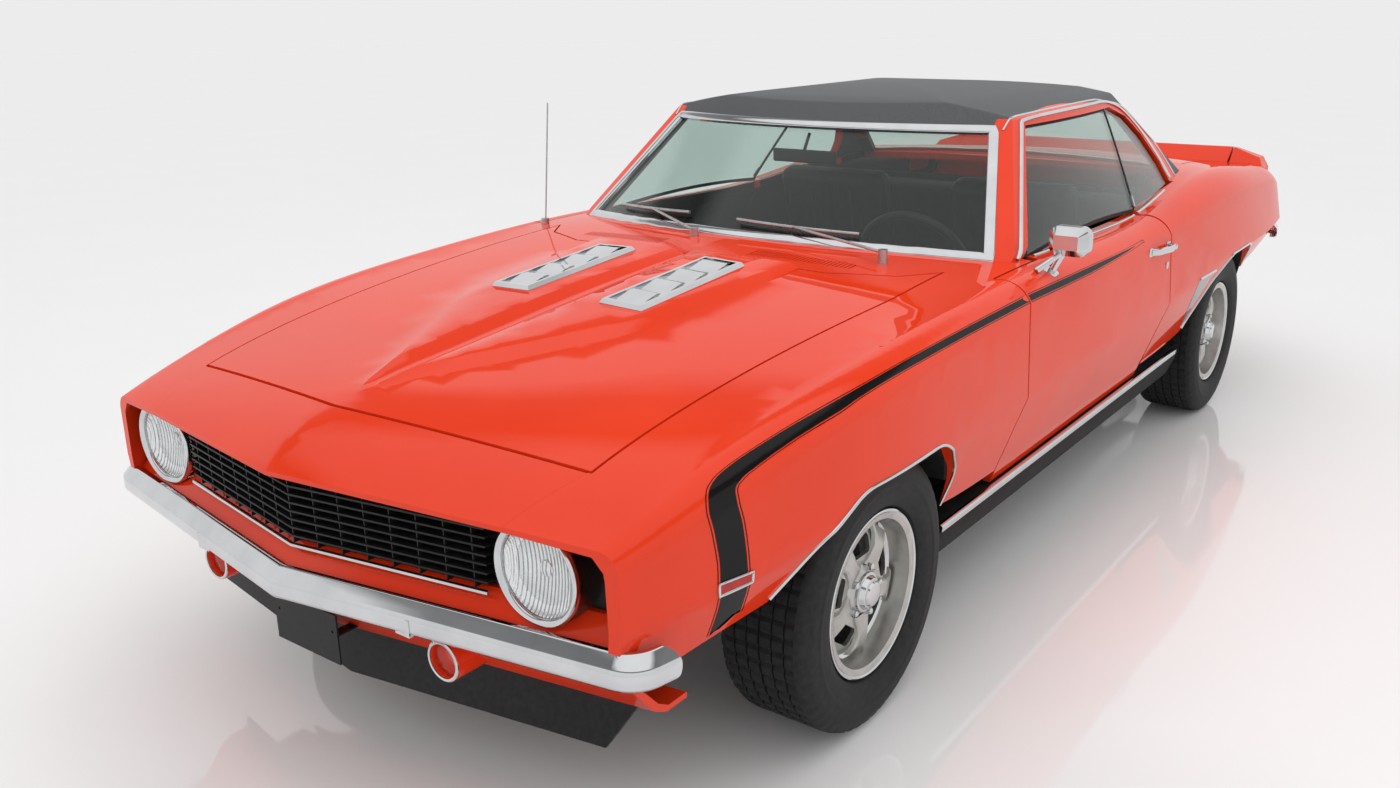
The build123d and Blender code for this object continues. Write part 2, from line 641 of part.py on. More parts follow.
def make_rim():
    """Steel wheel, its axis along X at the origin, street side at +X."""
    w = RIM_HALF_WIDTH
    barrel = revolve(Plane.XY * make_face(Polyline(
        (-w, RIM_RADIUS), (-w + 12, RIM_RADIUS), (-w + 14, 180), (-40, 172), (40, 172), (w - 14, 180),
        (w - 12, RIM_RADIUS), (w, RIM_RADIUS), (w, 184), (w - 4, 172), (40, 164), (-40, 164),
        (-w + 4, 172), (-w, 184), close=True)), Axis.X)
    disc = revolve(Plane.XY * make_face(Polyline(
        (20, 17.05), (78, 17.05), (78, 40), (62, 62), (64, 98), (54, 128), (34, 165), (26, 165), (46, 122),
        (55, 98), (50, 62), (20, 60), close=True)), Axis.X)
    cap = revolve(Plane.XY * make_face(Polyline(
        (78, 0), (78, 36), (90, 34), (95, 26), (96, 0), close=True)), Axis.X)
    window = rounded_side_prism(((-30, 84, 8), (30, 84, 8), (42, 128, 12), (-42, 128, 12)), 10, 90)
    for i in range(WHEEL_WINDOWS):
        disc -= Rot(360 / WHEEL_WINDOWS * i, 0, 0) * window
    return barrel + disc + cap


def make_tyre():
    w = TYRE_HALF_WIDTH
    bead = RIM_RADIUS + PANEL_GAP
    right = ((88, bead), (w - 7, bead + 20), (w, bead + 55), (w - 5, bead + 92), (w - 14, TYRE_RADIUS - 8),
             (w - 31, TYRE_RADIUS - 1), (55, TYRE_RADIUS))
    left = [(-x, r) for x, r in reversed(right)]
    return revolve(Plane.XY * make_face(Polyline(*right, *left, close=True)), Axis.X)


def wheelhouse(axle_y, x_in, z_low, inner_body):
    """An open half tub over one wheel, shut against the inside of the outer panel."""
    centre_z = TYRE_RADIUS
    tub = rod(700, axle_y, centre_z, WHEELHOUSE_RADIUS + 12, 600, (1, 0, 0))
    hollow = rod(700, axle_y, centre_z, WHEELHOUSE_RADIUS, 580, (1, 0, 0))
    x_out = 1000
    tub = tub & box(x_in, x_out, axle_y - 500, axle_y + 500, z_low, 1000)
    hollow = hollow & box(x_in + 12, x_out, axle_y - 500, axle_y + 500, 0, 1000)
    return (tub - hollow) & inner_body


def make_floor():
    """Cabin floor with its tunnel and sills, the step up under the bench, and the boot floor."""
    t = FLOOR_THICKNESS
    pan = side_prism(((FIREWALL_Y, FLOOR_Z), (520, FLOOR_Z), (640, BOOT_Z), (2236, BOOT_Z),
                      (2236, BOOT_Z + t), (632, BOOT_Z + t), (512, FLOOR_Z + t),
                      (FIREWALL_Y, FLOOR_Z + t)), -560, 560)
    sides = box(560, 720, FIREWALL_Y, 930, FLOOR_Z, FLOOR_Z + t)
    sill = front_prism(((700, 232), (796, 232), (824, 300), (824, 338), (700, 338)), -1050, 930)
    pan = pan + both(sides + sill)
    tunnel_out = box(-125, 125, FIREWALL_Y, 659, FLOOR_Z, 500)
    tunnel_in = box(-115, 115, FIREWALL_Y, 650, FLOOR_Z - 50, 490)
    shaft_way = box(-115, 115, 600, 660, FLOOR_Z - 50, BOOT_Z)
    bulkhead = box(-560, 560, 1140, 1156, BOOT_Z + t, 880)
    return (pan + tunnel_out) - tunnel_in - shaft_way + bulkhead


def make_firewall(inner_both):
    wall = box(-740, 740, FIREWALL_Y - 14, FIREWALL_Y - PANEL_GAP, FLOOR_Z, 1000) + hood_brackets()
    post = box(730, PILLAR_X, FIREWALL_Y - 14, -600, 340, 1000)
    for z in DOOR_STRAP_HEIGHTS:
        post += box(PILLAR_X - 2, DOOR_STRAP_X[1], FIREWALL_Y - 14, DOOR_FRONT_Y - 11, z - LINK_THICKNESS, z)
    hole = box(-115, 115, -1000, -700, 200, 490)
    return ((wall + both(post)) & inner_both) - hole


def make_engine():
    block = box(-265, 265, -1850, -1060, 300 + PANEL_GAP, 790)
    gearbox = rod(0, -740, 385, 100, 660, (0, 1, 0))
    start = Vector(0, -420, 385)
    end = Vector(0, 1216, TYRE_RADIUS)
    middle = (start + end) * 0.5
    shaft = rod(middle.X, middle.Y, middle.Z, 34, (end - start).length, tuple(end - start))
    return block + gearbox + shaft


def control_arm(x_root, half_width, z0, z1):
    """A tapered arm with a round end on the kingpin, small enough for the drum to swing past."""
    y = FRONT_AXLE_Y
    arm = plan_prism(((x_root, y - half_width), (KINGPIN_X, y - ARM_END_RADIUS),
                      (KINGPIN_X, y + ARM_END_RADIUS), (x_root, y + half_width)), z0, z1)
    return arm + rod(KINGPIN_X, y, (z0 + z1) / 2, ARM_END_RADIUS, z1 - z0, (0, 0, 1))


def make_subframe():
    rail = box(365, 435, -2035, FIREWALL_Y - 14 - PANEL_GAP, 300, 375)
    horn = box(310, 350, -2035, -1990, 340, 447 - PANEL_GAP)
    tower = box(395, 438, -1490, -1354, 370, 466)
    upper = control_arm(430, 58, UPPER_ARM_Z, UPPER_ARM_Z + 14)
    lower = control_arm(400, 78, LOWER_ARM_Z - 26, LOWER_ARM_Z)
    half = rail + horn + tower + upper + lower
    cross = box(-435, 435, -1482, -1362, 232, 300) + box(-400, 400, -2035, -1990, 300, 375)
    return both(half) + cross


def make_knuckle():
    upright = box(KINGPIN_X - 28, KINGPIN_X + 22, FRONT_AXLE_Y - 32, FRONT_AXLE_Y + 32,
                  LOWER_ARM_Z + PANEL_GAP, UPPER_ARM_Z - PANEL_GAP)
    spindle = rod((KINGPIN_X + SPINDLE_END_X) / 2, FRONT_AXLE_Y, TYRE_RADIUS, SPINDLE_RADIUS,
                  SPINDLE_END_X - KINGPIN_X, (1, 0, 0))
    drum = rod(728, FRONT_AXLE_Y, TYRE_RADIUS, 128, 34, (1, 0, 0))
    arm = box(650, 680, FRONT_AXLE_Y + 20, FRONT_AXLE_Y + 130, 300, 320)
    return upright + spindle + drum + arm


def make_rear_axle():
    tube = rod(0, REAR_AXLE_Y, TYRE_RADIUS, 38, 1300, (1, 0, 0))
    pumpkin = rod(0, REAR_AXLE_Y, TYRE_RADIUS, 106, 200, (0, 1, 0))
    drum = rod(690, REAR_AXLE_Y, TYRE_RADIUS, 130, 90, (1, 0, 0))
    spindle = rod(SPINDLE_END_X / 2, REAR_AXLE_Y, TYRE_RADIUS, SPINDLE_RADIUS, SPINDLE_END_X, (1, 0, 0))
    return tube + pumpkin + both(drum + spindle)


def make_leaf_springs():
    def arc(z_end, z_mid):
        return ThreePointArc((0, 720, z_end), (0, REAR_AXLE_Y, z_mid), (0, 1900, z_end))
    top = arc(340, 280 - PANEL_GAP)
    low = arc(316, 256)
    ends = Line((0, 720, 340), (0, 720, 316)) + Line((0, 1900, 340), (0, 1900, 316))
    leaf = Pos(490, 0, 0) * extrude(make_face(top + low + ends), amount=60, dir=(1, 0, 0))
    hangers = box(500, 540, 722, 748, 330, BOOT_Z - PANEL_GAP) \
        + box(500, 540, 1872, 1898, 330, BOOT_Z - PANEL_GAP)
    return pair(leaf + hangers)


def make_exhaust():
    pipe = rod(340, 600, 236, 22, 3300, (0, 1, 0))
    muffler = rod(340, 1750, 250, 60, 460, (0, 1, 0)) & box(200, 450, 1400, 2100, 200, 290)
    hangers = box(330, 350, 300, 320, 250, FLOOR_Z - PANEL_GAP) \
        + box(330, 350, 1740, 1760, 280, BOOT_Z - PANEL_GAP)
    return pair(pipe + muffler + hangers)


def make_front_seats():
    base_z = FLOOR_Z + FLOOR_THICKNESS + PANEL_GAP
    base = box(SEAT_X - 190, SEAT_X + 190, -70, 360, base_z, 330)
    cushion = rounded_side_prism(((-120, 325, 20), (410, 325, 20), (410, 440, 20), (-60, 478, 50),
                                  (-120, 440, 25)), SEAT_X - 228, SEAT_X + 228)
    back = rounded_side_prism(((330, 430, 0), (450, 400, 0), (592, 940, 25), (570, 985, 22), (500, 985, 40)),
                              SEAT_X - 224, SEAT_X + 224)
    shape = front_prism(((SEAT_X - 224, 380), (SEAT_X + 224, 380), (SEAT_X + 224, 800), (SEAT_X + 175, 960),
                         (SEAT_X + 120, 990), (SEAT_X - 120, 990), (SEAT_X - 175, 960), (SEAT_X - 224, 800)),
                        300, 650)
    return pair(base + cushion + (back & shape))


def make_bench():
    z0 = BOOT_Z + FLOOR_THICKNESS + PANEL_GAP
    cushion = box(-560, 560, 660, 1080, z0, 560)
    back = side_prism(((1010, 540), (1139, 540), (1139, 870), (1080, 870)), -560, 560)
    return cushion + back


def make_dashboard():
    pad = side_prism(((FIREWALL_Y, 640), (-560, 620), (-470, 700), (-455, 850), (-480, 872),
                      (FIREWALL_Y, 872)), -700, 700)
    end = STEERING_CENTRE - STEERING_AXIS * (39 + PANEL_GAP)
    start = STEERING_CENTRE - STEERING_AXIS * 400
    middle = (start + end) * 0.5
    column = rod(middle.X, middle.Y, middle.Z, 28, (end - start).length, tuple(STEERING_AXIS))
    return pad + (column & box(0, 700, FIREWALL_Y, 0, 400, 1000))


def make_steering_wheel():
    plane = Plane(origin=STEERING_CENTRE, x_dir=(1, 0, 0), z_dir=STEERING_AXIS)
    rim = plane * Torus(182, 13)
    hub = plane * (Pos(0, 0, -16) * Cylinder(48, 46))
    spoke = plane * Box(360, 34, 8)
    return rim + hub + (spoke & (plane * Cylinder(182, 60)))


def make_mirror():
    """A rounded head on a short stalk from the door's shoulder."""
    shell = Plane(origin=(906, -520, 972), x_dir=(1, 0, 0), z_dir=(0, 1, 0)) * RectangleRounded(106, 78, 26)
    head = extrude(shell, amount=30, dir=(0, 1, 0)) + extrude(shell, amount=26, dir=(0, -1, 0), taper=38)
    stalk = rod(876, -508, 916, 10, 110, (0.5, 0, 1))
    foot = rod(848, -508, 872, 26, 40, (0.45, 0, 1))
    return head + stalk + foot


def windshield_y(x, z):
    """Where the windshield's outside is, at one height."""
    (z0, *low), (z1, *high) = GREENHOUSE
    t = (z - z0) / (z1 - z0)
    middle, corner_x, corner_y = [a + (b - a) * t for a, b in zip(low[:3], high[:3])]
    sag = corner_y - middle
    radius = (corner_x ** 2 + sag ** 2) / (2 * sag)
    return middle + radius - math.sqrt(radius ** 2 - x ** 2)


# each wiper: the blade's two ends and the pivot, in x and z
WIPERS = (((-20, 974), (368, 962), 508), ((-548, 962), (-210, 976), -112))
WIPER_PIVOT_Y = -789


def make_wipers():
    """Arms from the cowl, each with a blade along the foot of the glass."""
    wipers = []
    for (x0, z0), (x1, z1), pivot_x in WIPERS:
        points = [Vector(x0 + (x1 - x0) * t, 0, z0 + (z1 - z0) * t) for t in (0, 0.5, 1)]
        points = [Vector(p.X, windshield_y(p.X, p.Z) - 9, p.Z) for p in points]
        rail = ThreePointArc(*points)
        blade = sweep(Plane(origin=rail @ 0, z_dir=rail % 0) * Circle(5), path=rail)
        pivot = rod(pivot_x, WIPER_PIVOT_Y, 934, 13, 40, (0, 0, 1))
        arm = bar(Vector(pivot_x, WIPER_PIVOT_Y, 946), points[1] + Vector(0, -3, 2), 4)
        wipers.append(pivot + arm + blade)
    return wipers


def bar(start, end, radius):
    """A round bar from one point to the next, run on a little so that joined bars meet."""
    along = (end - start).normalized() * 2
    middle = (start + end) * 0.5
    return rod(middle.X, middle.Y, middle.Z, radius, (end - start).length + 4, tuple(along))


def make_antenna():
    mast = rod(-753, -728, 1092, 2.5, 384, (-0.02, 0.12, 1))
    return mast + rod(-750, -751, 905, 13, 30, (0, 0, 1))


def wheel_at(solid, x_sign, axle_y):
    placed = Pos(TRACK_HALF, axle_y, TYRE_RADIUS) * solid
    return placed if x_sign > 0 else mirrored(placed)


def make_nodes():
    outer = body_half()
    outer_both = whole(outer)
    shell = outer - body_half(*FENDER_INSET)
    inner_body = body_half(FENDER_WALL + PANEL_GAP, TOP_WALL + PANEL_GAP, 200)
    inner_both = whole(body_half(20, TOP_WALL + PANEL_GAP, 200))
    nodes = {}

    fender = make_fender(outer, shell)
    nodes["fender_left"] = fender
    nodes["fender_right"] = mirrored(fender)
    nodes["header_panel"] = make_header(shell)
    nodes["hood"] = make_hood(outer)
    nodes["hood_louvres"] = place_louvres(make_louvres(), nodes["hood"])
    cowl = (outer - body_half(20, TOP_WALL, 200)) & cowl_region() & box(-1, 1000, -1100, -470, 700, 1200)
    cowl = cowl - grown_prism(HOOD_PLAN, SHUT_GAP, 0, 1200) - greenhouse(48) - cowl_vents()
    nodes["cowl_panel"] = whole(cowl)
    nodes["front_valance"] = make_valance() - nodes["fender_left"] - nodes["fender_right"]
    nodes["grille"] = make_grille()
    lamps = make_headlamps()
    nodes["headlamps"] = Compound(children=lamps + [mirrored(lamp) for lamp in lamps])
    nodes["bumper_front"] = make_front_bumper() - nodes["fender_left"] - nodes["fender_right"]
    nodes["chin_spoiler"] = Compound(children=[make_chin(), make_plate_bracket() - nodes["front_valance"]])

    panes = pane() & roof_crown(GLASS_INSET)
    door_glass, quarter_glass = make_side_glass(panes)
    door = make_door(outer, door_glass)
    nodes["door_left"] = door
    nodes["door_right"] = mirrored(door)
    nodes["door_glass_left"] = door_glass
    nodes["door_glass_right"] = mirrored(door_glass)
    nodes["door_mirror"] = make_mirror() - door
    quarter = make_quarter(outer, shell) - quarter_glass
    nodes["quarter_left"] = quarter
    nodes["quarter_right"] = mirrored(quarter)
    nodes["quarter_glass"] = pair(quarter_glass)
    nodes["deck_filler"] = make_deck_filler(outer)
    nodes["trunk_lid"] = make_trunk_lid(outer)
    nodes["tail_panel"] = make_tail(outer)
    rear_bumper = make_rear_bumper() - nodes["tail_panel"] - nodes["quarter_left"]
    nodes["bumper_rear"] = rear_bumper - nodes["quarter_right"]
    nodes["tail_lamps"] = make_tail_lamps()
    windshield = panes & windshield_prism(-14)
    backlight = panes & backlight_prism(-14)
    roof = make_roof(outer_both) - windshield - backlight - nodes["quarter_glass"]
    nodes["roof_shell"] = roof
    nodes["windshield"] = windshield - outer_both
    nodes["rear_window"] = backlight - outer_both

    nodes["floor_pan"] = make_floor()
    nodes["firewall"] = make_firewall(inner_both) - nodes["floor_pan"]
    front_tub = wheelhouse(FRONT_AXLE_Y, STEER_CLEAR_X, 480, inner_body)
    rear_tub = wheelhouse(REAR_AXLE_Y, 560 + PANEL_GAP, 400, inner_body)
    nodes["wheelhouses_front"] = pair(front_tub)
    nodes["wheelhouses_rear"] = pair(rear_tub)
    nodes["subframe"] = make_subframe()
    nodes["engine_block"] = make_engine()
    nodes["radiator"] = box(-300, 300, -2030, -1995, 375 + PANEL_GAP, 715)
    nodes["rear_axle"] = make_rear_axle()
    nodes["leaf_springs"] = make_leaf_springs()
    nodes["exhaust"] = make_exhaust()
    nodes["fuel_tank"] = box(-290, 290, 1700, 2150, 290, BOOT_Z - PANEL_GAP)
    nodes["front_seats"] = make_front_seats()
    nodes["rear_bench"] = make_bench()
    nodes["dashboard"] = make_dashboard()
    nodes["steering_wheel"] = make_steering_wheel()
    nodes["wipers"] = Compound(children=[arm - nodes["cowl_panel"] for arm in make_wipers()])
    nodes["antenna"] = make_antenna() - nodes["cowl_panel"]

    nodes["knuckle_left"] = make_knuckle()
    nodes["knuckle_right"] = mirrored(nodes["knuckle_left"])
    rim, tyre = make_rim(), make_tyre()
    for end, axle_y in (("front", FRONT_AXLE_Y), ("rear", REAR_AXLE_Y)):
        for side, sign in (("left", 1), ("right", -1)):
            nodes[f"rim_{end}_{side}"] = wheel_at(rim, sign, axle_y)
            nodes[f"tyre_{end}_{side}"] = wheel_at(tyre, sign, axle_y)
    return nodes


if __name__ == "__main__":
    os.makedirs("parts", exist_ok=True)
    for name, shape in make_nodes().items():
        print(name, len(shape.solids()), round(shape.volume / 1e6, 2), shape.is_valid)
        export_step(shape, f"parts/{name}.step")
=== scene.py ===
import json
from math import atan2, cos, pi, radians, sin, sqrt, tan

import bmesh
import bpy
import numpy as np
from mathutils import Matrix, Vector
from mathutils.bvhtree import BVHTree


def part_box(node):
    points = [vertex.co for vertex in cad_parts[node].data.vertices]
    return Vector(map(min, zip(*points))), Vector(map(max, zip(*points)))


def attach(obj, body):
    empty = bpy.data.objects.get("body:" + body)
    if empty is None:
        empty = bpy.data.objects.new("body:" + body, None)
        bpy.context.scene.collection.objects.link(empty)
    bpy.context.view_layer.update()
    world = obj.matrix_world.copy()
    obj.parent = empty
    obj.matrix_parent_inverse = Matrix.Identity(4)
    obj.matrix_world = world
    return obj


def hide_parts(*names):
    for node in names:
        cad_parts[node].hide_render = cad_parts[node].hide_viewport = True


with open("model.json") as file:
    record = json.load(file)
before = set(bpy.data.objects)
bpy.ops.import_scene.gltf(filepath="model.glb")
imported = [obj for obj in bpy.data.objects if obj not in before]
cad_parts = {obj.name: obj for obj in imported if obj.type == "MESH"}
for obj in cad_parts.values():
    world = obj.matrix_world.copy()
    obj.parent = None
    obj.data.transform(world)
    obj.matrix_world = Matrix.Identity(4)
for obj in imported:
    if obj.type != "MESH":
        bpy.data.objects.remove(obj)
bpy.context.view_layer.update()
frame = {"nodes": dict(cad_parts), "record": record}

# ---- camera: solved from the car's wheels and seams, in metres and degrees ----
CAMERA_PLACE = (1.9991, -3.57701, 1.56506)
CAMERA_AZIMUTH = 36.98
CAMERA_ELEVATION = 17.79
CAMERA_ROLL = -0.84
FOCAL_PIXELS = 1203.49
IMAGE_WIDTH = 1400
SENSOR = 36.0

# ---- the car's measures in mm: x to its left, y to its back, z up ----
AXLE_Y = {"front": -1422, "rear": 1321}
WHEEL_X = 757
WHEEL_Z = 318
HEADLAMP = (600, -2208, 614)
TURN_LAMP = (378, -2250, 384)
NOSE_SWEEP = 0.165        # how far back the nose goes for each mm to the side
# the windshield's outer face at two heights: z, the middle's y, the corner's x and y
WINDSHIELD_LEVELS = ((860, -850, 790, -575), (1240, -325, 606, -218))
# x and z of the windshield opening's lower and upper corner
WINDSHIELD_SIDE = ((712, 905), (566, 1222))
SIDE_WINDOW_Z = 893
# wheel openings seen from the side: y from the axle, z, and the corner's radius
FRONT_ARCH = ((-472, 230, 0), (-456, 392, 60), (-290, 560, 170), (-150, 626, 160),
              (205, 626, 130), (352, 500, 110), (345, 230, 0))
REAR_ARCH = ((-415, 250, 0), (-402, 430, 80), (-272, 570, 160), (-110, 648, 150),
             (190, 648, 130), (335, 520, 110), (356, 250, 0))
SIDES = (("left", 1), ("right", -1))


def make_camera():
    azimuth, elevation, roll = [radians(a) for a in (CAMERA_AZIMUTH, CAMERA_ELEVATION, CAMERA_ROLL)]
    back = Vector((sin(azimuth) * cos(elevation),
                   -cos(azimuth) * cos(elevation), sin(elevation)))
    right = Vector((0, 0, 1)).cross(back).normalized()
    up = back.cross(right)
    camera = bpy.data.objects.new("camera", bpy.data.cameras.new("camera"))
    bpy.context.scene.collection.objects.link(camera)
    axes = Matrix((right * cos(roll) + up * sin(roll),
                   up * cos(roll) - right * sin(roll), back)).transposed().to_4x4()
    camera.matrix_world = Matrix.Translation(CAMERA_PLACE) @ axes
    camera.data.sensor_width = SENSOR
    camera.data.lens = FOCAL_PIXELS / IMAGE_WIDTH * SENSOR
    camera.data.clip_start = 0.05
    bpy.context.scene.camera = camera


# ---- materials ----
def new_material(name):
    material = bpy.data.materials.new(name)
    material.use_nodes = True
    return material, material.node_tree


def node(net, kind, sockets=(), **settings):
    """A node with each given socket set to a value, or joined to another node's output."""
    made = net.nodes.new("ShaderNode" + kind)
    for key, value in settings.items():
        setattr(made, key, value)
    set_sockets(net, made, dict(sockets))
    return made


def set_sockets(net, made, sockets):
    for key, value in sockets.items():
        if isinstance(value, bpy.types.NodeSocket):
            net.links.new(value, made.inputs[key])
        else:
            made.inputs[key].default_value = value


def noise(net, scale, detail=2.0):
    place = node(net, "TexCoord").outputs["Object"]
    return node(net, "TexNoise", {"Vector": place, "Scale": scale, "Detail": detail}).outputs["Fac"]


def two_tone(net, factor, low, high, spread=0.2):
    """From the low colour to the high one round the factor's middle."""
    ramp = node(net, "ValToRGB", {"Fac": factor})
    first, last = ramp.color_ramp.elements
    first.position, last.position = 0.5 - spread, 0.5 + spread
    first.color, last.color = (*low, 1), (*high, 1)
    return ramp.outputs["Color"]


def bump(net, height, strength, distance):
    return node(net, "Bump", {"Strength": strength, "Distance": distance, "Height": height}).outputs["Normal"]


def map_range(net, value, low, high, start=0.0, end=1.0):
    """Turns start to end into low to high."""
    sockets = {"Value": value, "From Min": start, "From Max": end, "To Min": low, "To Max": high}
    return node(net, "MapRange", sockets).outputs["Result"]


def worked_out(net, operation, *values):
    """A Math node's result."""
    return node(net, "Math", enumerate(values), operation=operation).outputs[0]


def mixed(net, factor, first, second):
    """The first shader where the factor is 0 and the second where it is 1."""
    return node(net, "MixShader", {0: factor, 1: first.outputs[0], 2: second.outputs[0]})


def object_place(net):
    """The coordinates' node and, split up, the place on the object in metres."""
    place = node(net, "TexCoord")
    return place, node(net, "SeparateXYZ", {"Vector": place.outputs["Object"]}).outputs


def show(net, shader):
    net.links.new(shader.outputs[0], net.nodes["Material Output"].inputs["Surface"])


DARKEST_PLAIN = 0.03      # a colour below this is rubber, plastic or vinyl, which mirrors little
DARK_SPECULAR = 0.22


def dress(net, shader, low, high, roughness, metallic=0.0, scale=40.0, rough_spread=0.05, bump_scale=None,
          bump_strength=0.1, bump_distance=0.001, coat=0.0, coat_roughness=0.03):
    """Gives a Principled shader a colour, roughness and bump that come from noise."""
    factor = noise(net, scale, 3.0)
    sockets = {
        "Metallic": metallic,
        "Coat Weight": coat,
        "Coat Roughness": coat_roughness,
        "Base Color": two_tone(net, factor, low, high),
        "Roughness": map_range(net, factor, roughness - rough_spread, roughness + rough_spread),
    }
    if coat:
        sockets["Specular IOR Level"] = 0.0
    elif low[0] < DARKEST_PLAIN:
        sockets["Specular IOR Level"] = DARK_SPECULAR
    if bump_scale:
        sockets["Normal"] = bump(net, noise(net, bump_scale), bump_strength, bump_distance)
    set_sockets(net, shader, sockets)


def shaded(name, *args, **kwargs):
    """A material that is one dressed Principled shader."""
    material, net = new_material(name)
    dress(net, net.nodes["Principled BSDF"], *args, **kwargs)
    return material


PAINT = dict(low=(0.77, 0.040, 0.008), high=(0.82, 0.048, 0.010), roughness=0.32, scale=3.0,
             rough_spread=0.02, coat=0.7, coat_roughness=0.015)
LINING = dict(low=(0.010, 0.010, 0.011), high=(0.024, 0.024, 0.026), scale=120.0, bump_scale=420.0)
VINYL = dict(low=(0.040, 0.042, 0.046), high=(0.085, 0.088, 0.094), roughness=0.5, scale=420.0,
             bump_scale=520.0, bump_strength=0.5, bump_distance=0.0008)
INWARD = -0.3             # a normal that leans this far to the middle plane belongs to the lining
VINYL_HALF_WIDTH = 0.562  # nearer to the middle plane the roof is vinyl at every height
VINYL_Z = (860, 1360)
# the line where the roof's paint ends and its vinyl begins, y and z in mm seen from the side
VINYL_LINE = ((-420, 1214), (-250, 1246), (-184, 1250), (215, 1260), (598, 1246), (850, 1211), (940, 1165),
              (1002, 1116), (1071, 1030), (1098, 960))


def inward(net, place, parts):
    """1 on faces that look towards the car's middle plane, which the cabin's lining covers."""
    turned_to = node(net, "SeparateXYZ", {"Vector": place.outputs["Normal"]}).outputs["X"]
    across = worked_out(net, "MULTIPLY", worked_out(net, "SIGN", parts["X"]), turned_to)
    return worked_out(net, "LESS_THAN", across, INWARD)


def lined_paint():
    """Doors and quarters: paint outside, black lining inside."""
    material, net = new_material("lined_paint")
    paint, lining = net.nodes["Principled BSDF"], node(net, "BsdfPrincipled")
    dress(net, paint, **PAINT)
    dress(net, lining, roughness=0.5, **LINING)
    show(net, mixed(net, inward(net, *object_place(net)), paint, lining))
    return material


def paint_or_vinyl():
    """The roof shell: vinyl above the line of the upper moulding, paint on the pillars below it."""
    material, net = new_material("vinyl_roof")
    paint, vinyl = net.nodes["Principled BSDF"], node(net, "BsdfPrincipled")
    dress(net, paint, **PAINT)
    dress(net, vinyl, **VINYL)
    place, parts = object_place(net)
    (front, back), (low, high) = (VINYL_LINE[0][0], VINYL_LINE[-1][0]), VINYL_Z
    along = map_range(net, parts["Y"], 0.0, 1.0, front * 0.001, back * 0.001)
    line = node(net, "FloatCurve", {"Value": along})
    bends = line.mapping.curves[0]
    points = [((y - front) / (back - front), (z - low) / (high - low)) for y, z in VINYL_LINE]
    bends.points[0].location, bends.points[1].location = points[0], points[-1]
    for point in points[1:-1]:
        bends.points.new(*point)
    for point in bends.points:
        point.handle_type = "VECTOR"
    line.mapping.update()
    height = map_range(net, parts["Z"], 0.0, 1.0, low * 0.001, high * 0.001)
    is_vinyl = worked_out(net, "GREATER_THAN", height, line.outputs["Value"])
    for other in (worked_out(net, "GREATER_THAN", parts["Y"], back * 0.001),
                  worked_out(net, "LESS_THAN", worked_out(net, "ABSOLUTE", parts["X"]), VINYL_HALF_WIDTH),
                  inward(net, place, parts)):
        is_vinyl = worked_out(net, "MAXIMUM", is_vinyl, other)
    show(net, mixed(net, is_vinyl, paint, vinyl))
    return material


def glance(net, least):
    """How much a clear surface mirrors: the same from both its sides."""
    facing = node(net, "LayerWeight", {"Blend": 0.5}).outputs["Facing"]
    return map_range(net, worked_out(net, "POWER", facing, 5.0), least, 1.0)


GLASS_MIRRORS = 0.035     # the share of light that glass mirrors when seen straight on


def thin_glass(name, tint):
    """Clear glass: it lets lamps and sight straight through, tinted, and mirrors more at a slant."""
    material, net = new_material(name)
    net.nodes.remove(net.nodes["Principled BSDF"])
    clear = node(net, "BsdfTransparent", {"Color": (*tint, 1)})
    mirror = node(net, "BsdfGlossy", {"Roughness": 0.01})
    show(net, mixed(net, glance(net, GLASS_MIRRORS), clear, mirror))
    return material


def hatched(name, low, high, scale):
    """Fine slanting lines."""
    material, net = new_material(name)
    place = node(net, "TexCoord").outputs["Object"]
    turn = node(net, "Mapping", {"Vector": place, "Rotation": (radians(38), 0, 0)}).outputs["Vector"]
    wave = node(net, "TexWave", {"Vector": turn, "Scale": scale}, bands_direction="Y").outputs["Fac"]
    set_sockets(net, net.nodes["Principled BSDF"],
                {"Base Color": two_tone(net, wave, low, high, 0.1), "Roughness": 0.35, "Coat Weight": 0.6})
    return material


def lamp_look():
    """The ribbed reflector behind a headlamp's lens."""
    material, net = new_material("fluted")
    shader = net.nodes["Principled BSDF"]
    dress(net, shader, (0.78, 0.79, 0.80), (0.88, 0.89, 0.90), 0.22, metallic=0.85, scale=20.0)
    place = node(net, "TexCoord").outputs["Object"]
    wave = node(net, "TexWave", {"Vector": place, "Scale": 34.0}, bands_direction="X").outputs["Fac"]
    set_sockets(net, shader, {"Normal": bump(net, wave, 0.8, 0.003)})
    return material


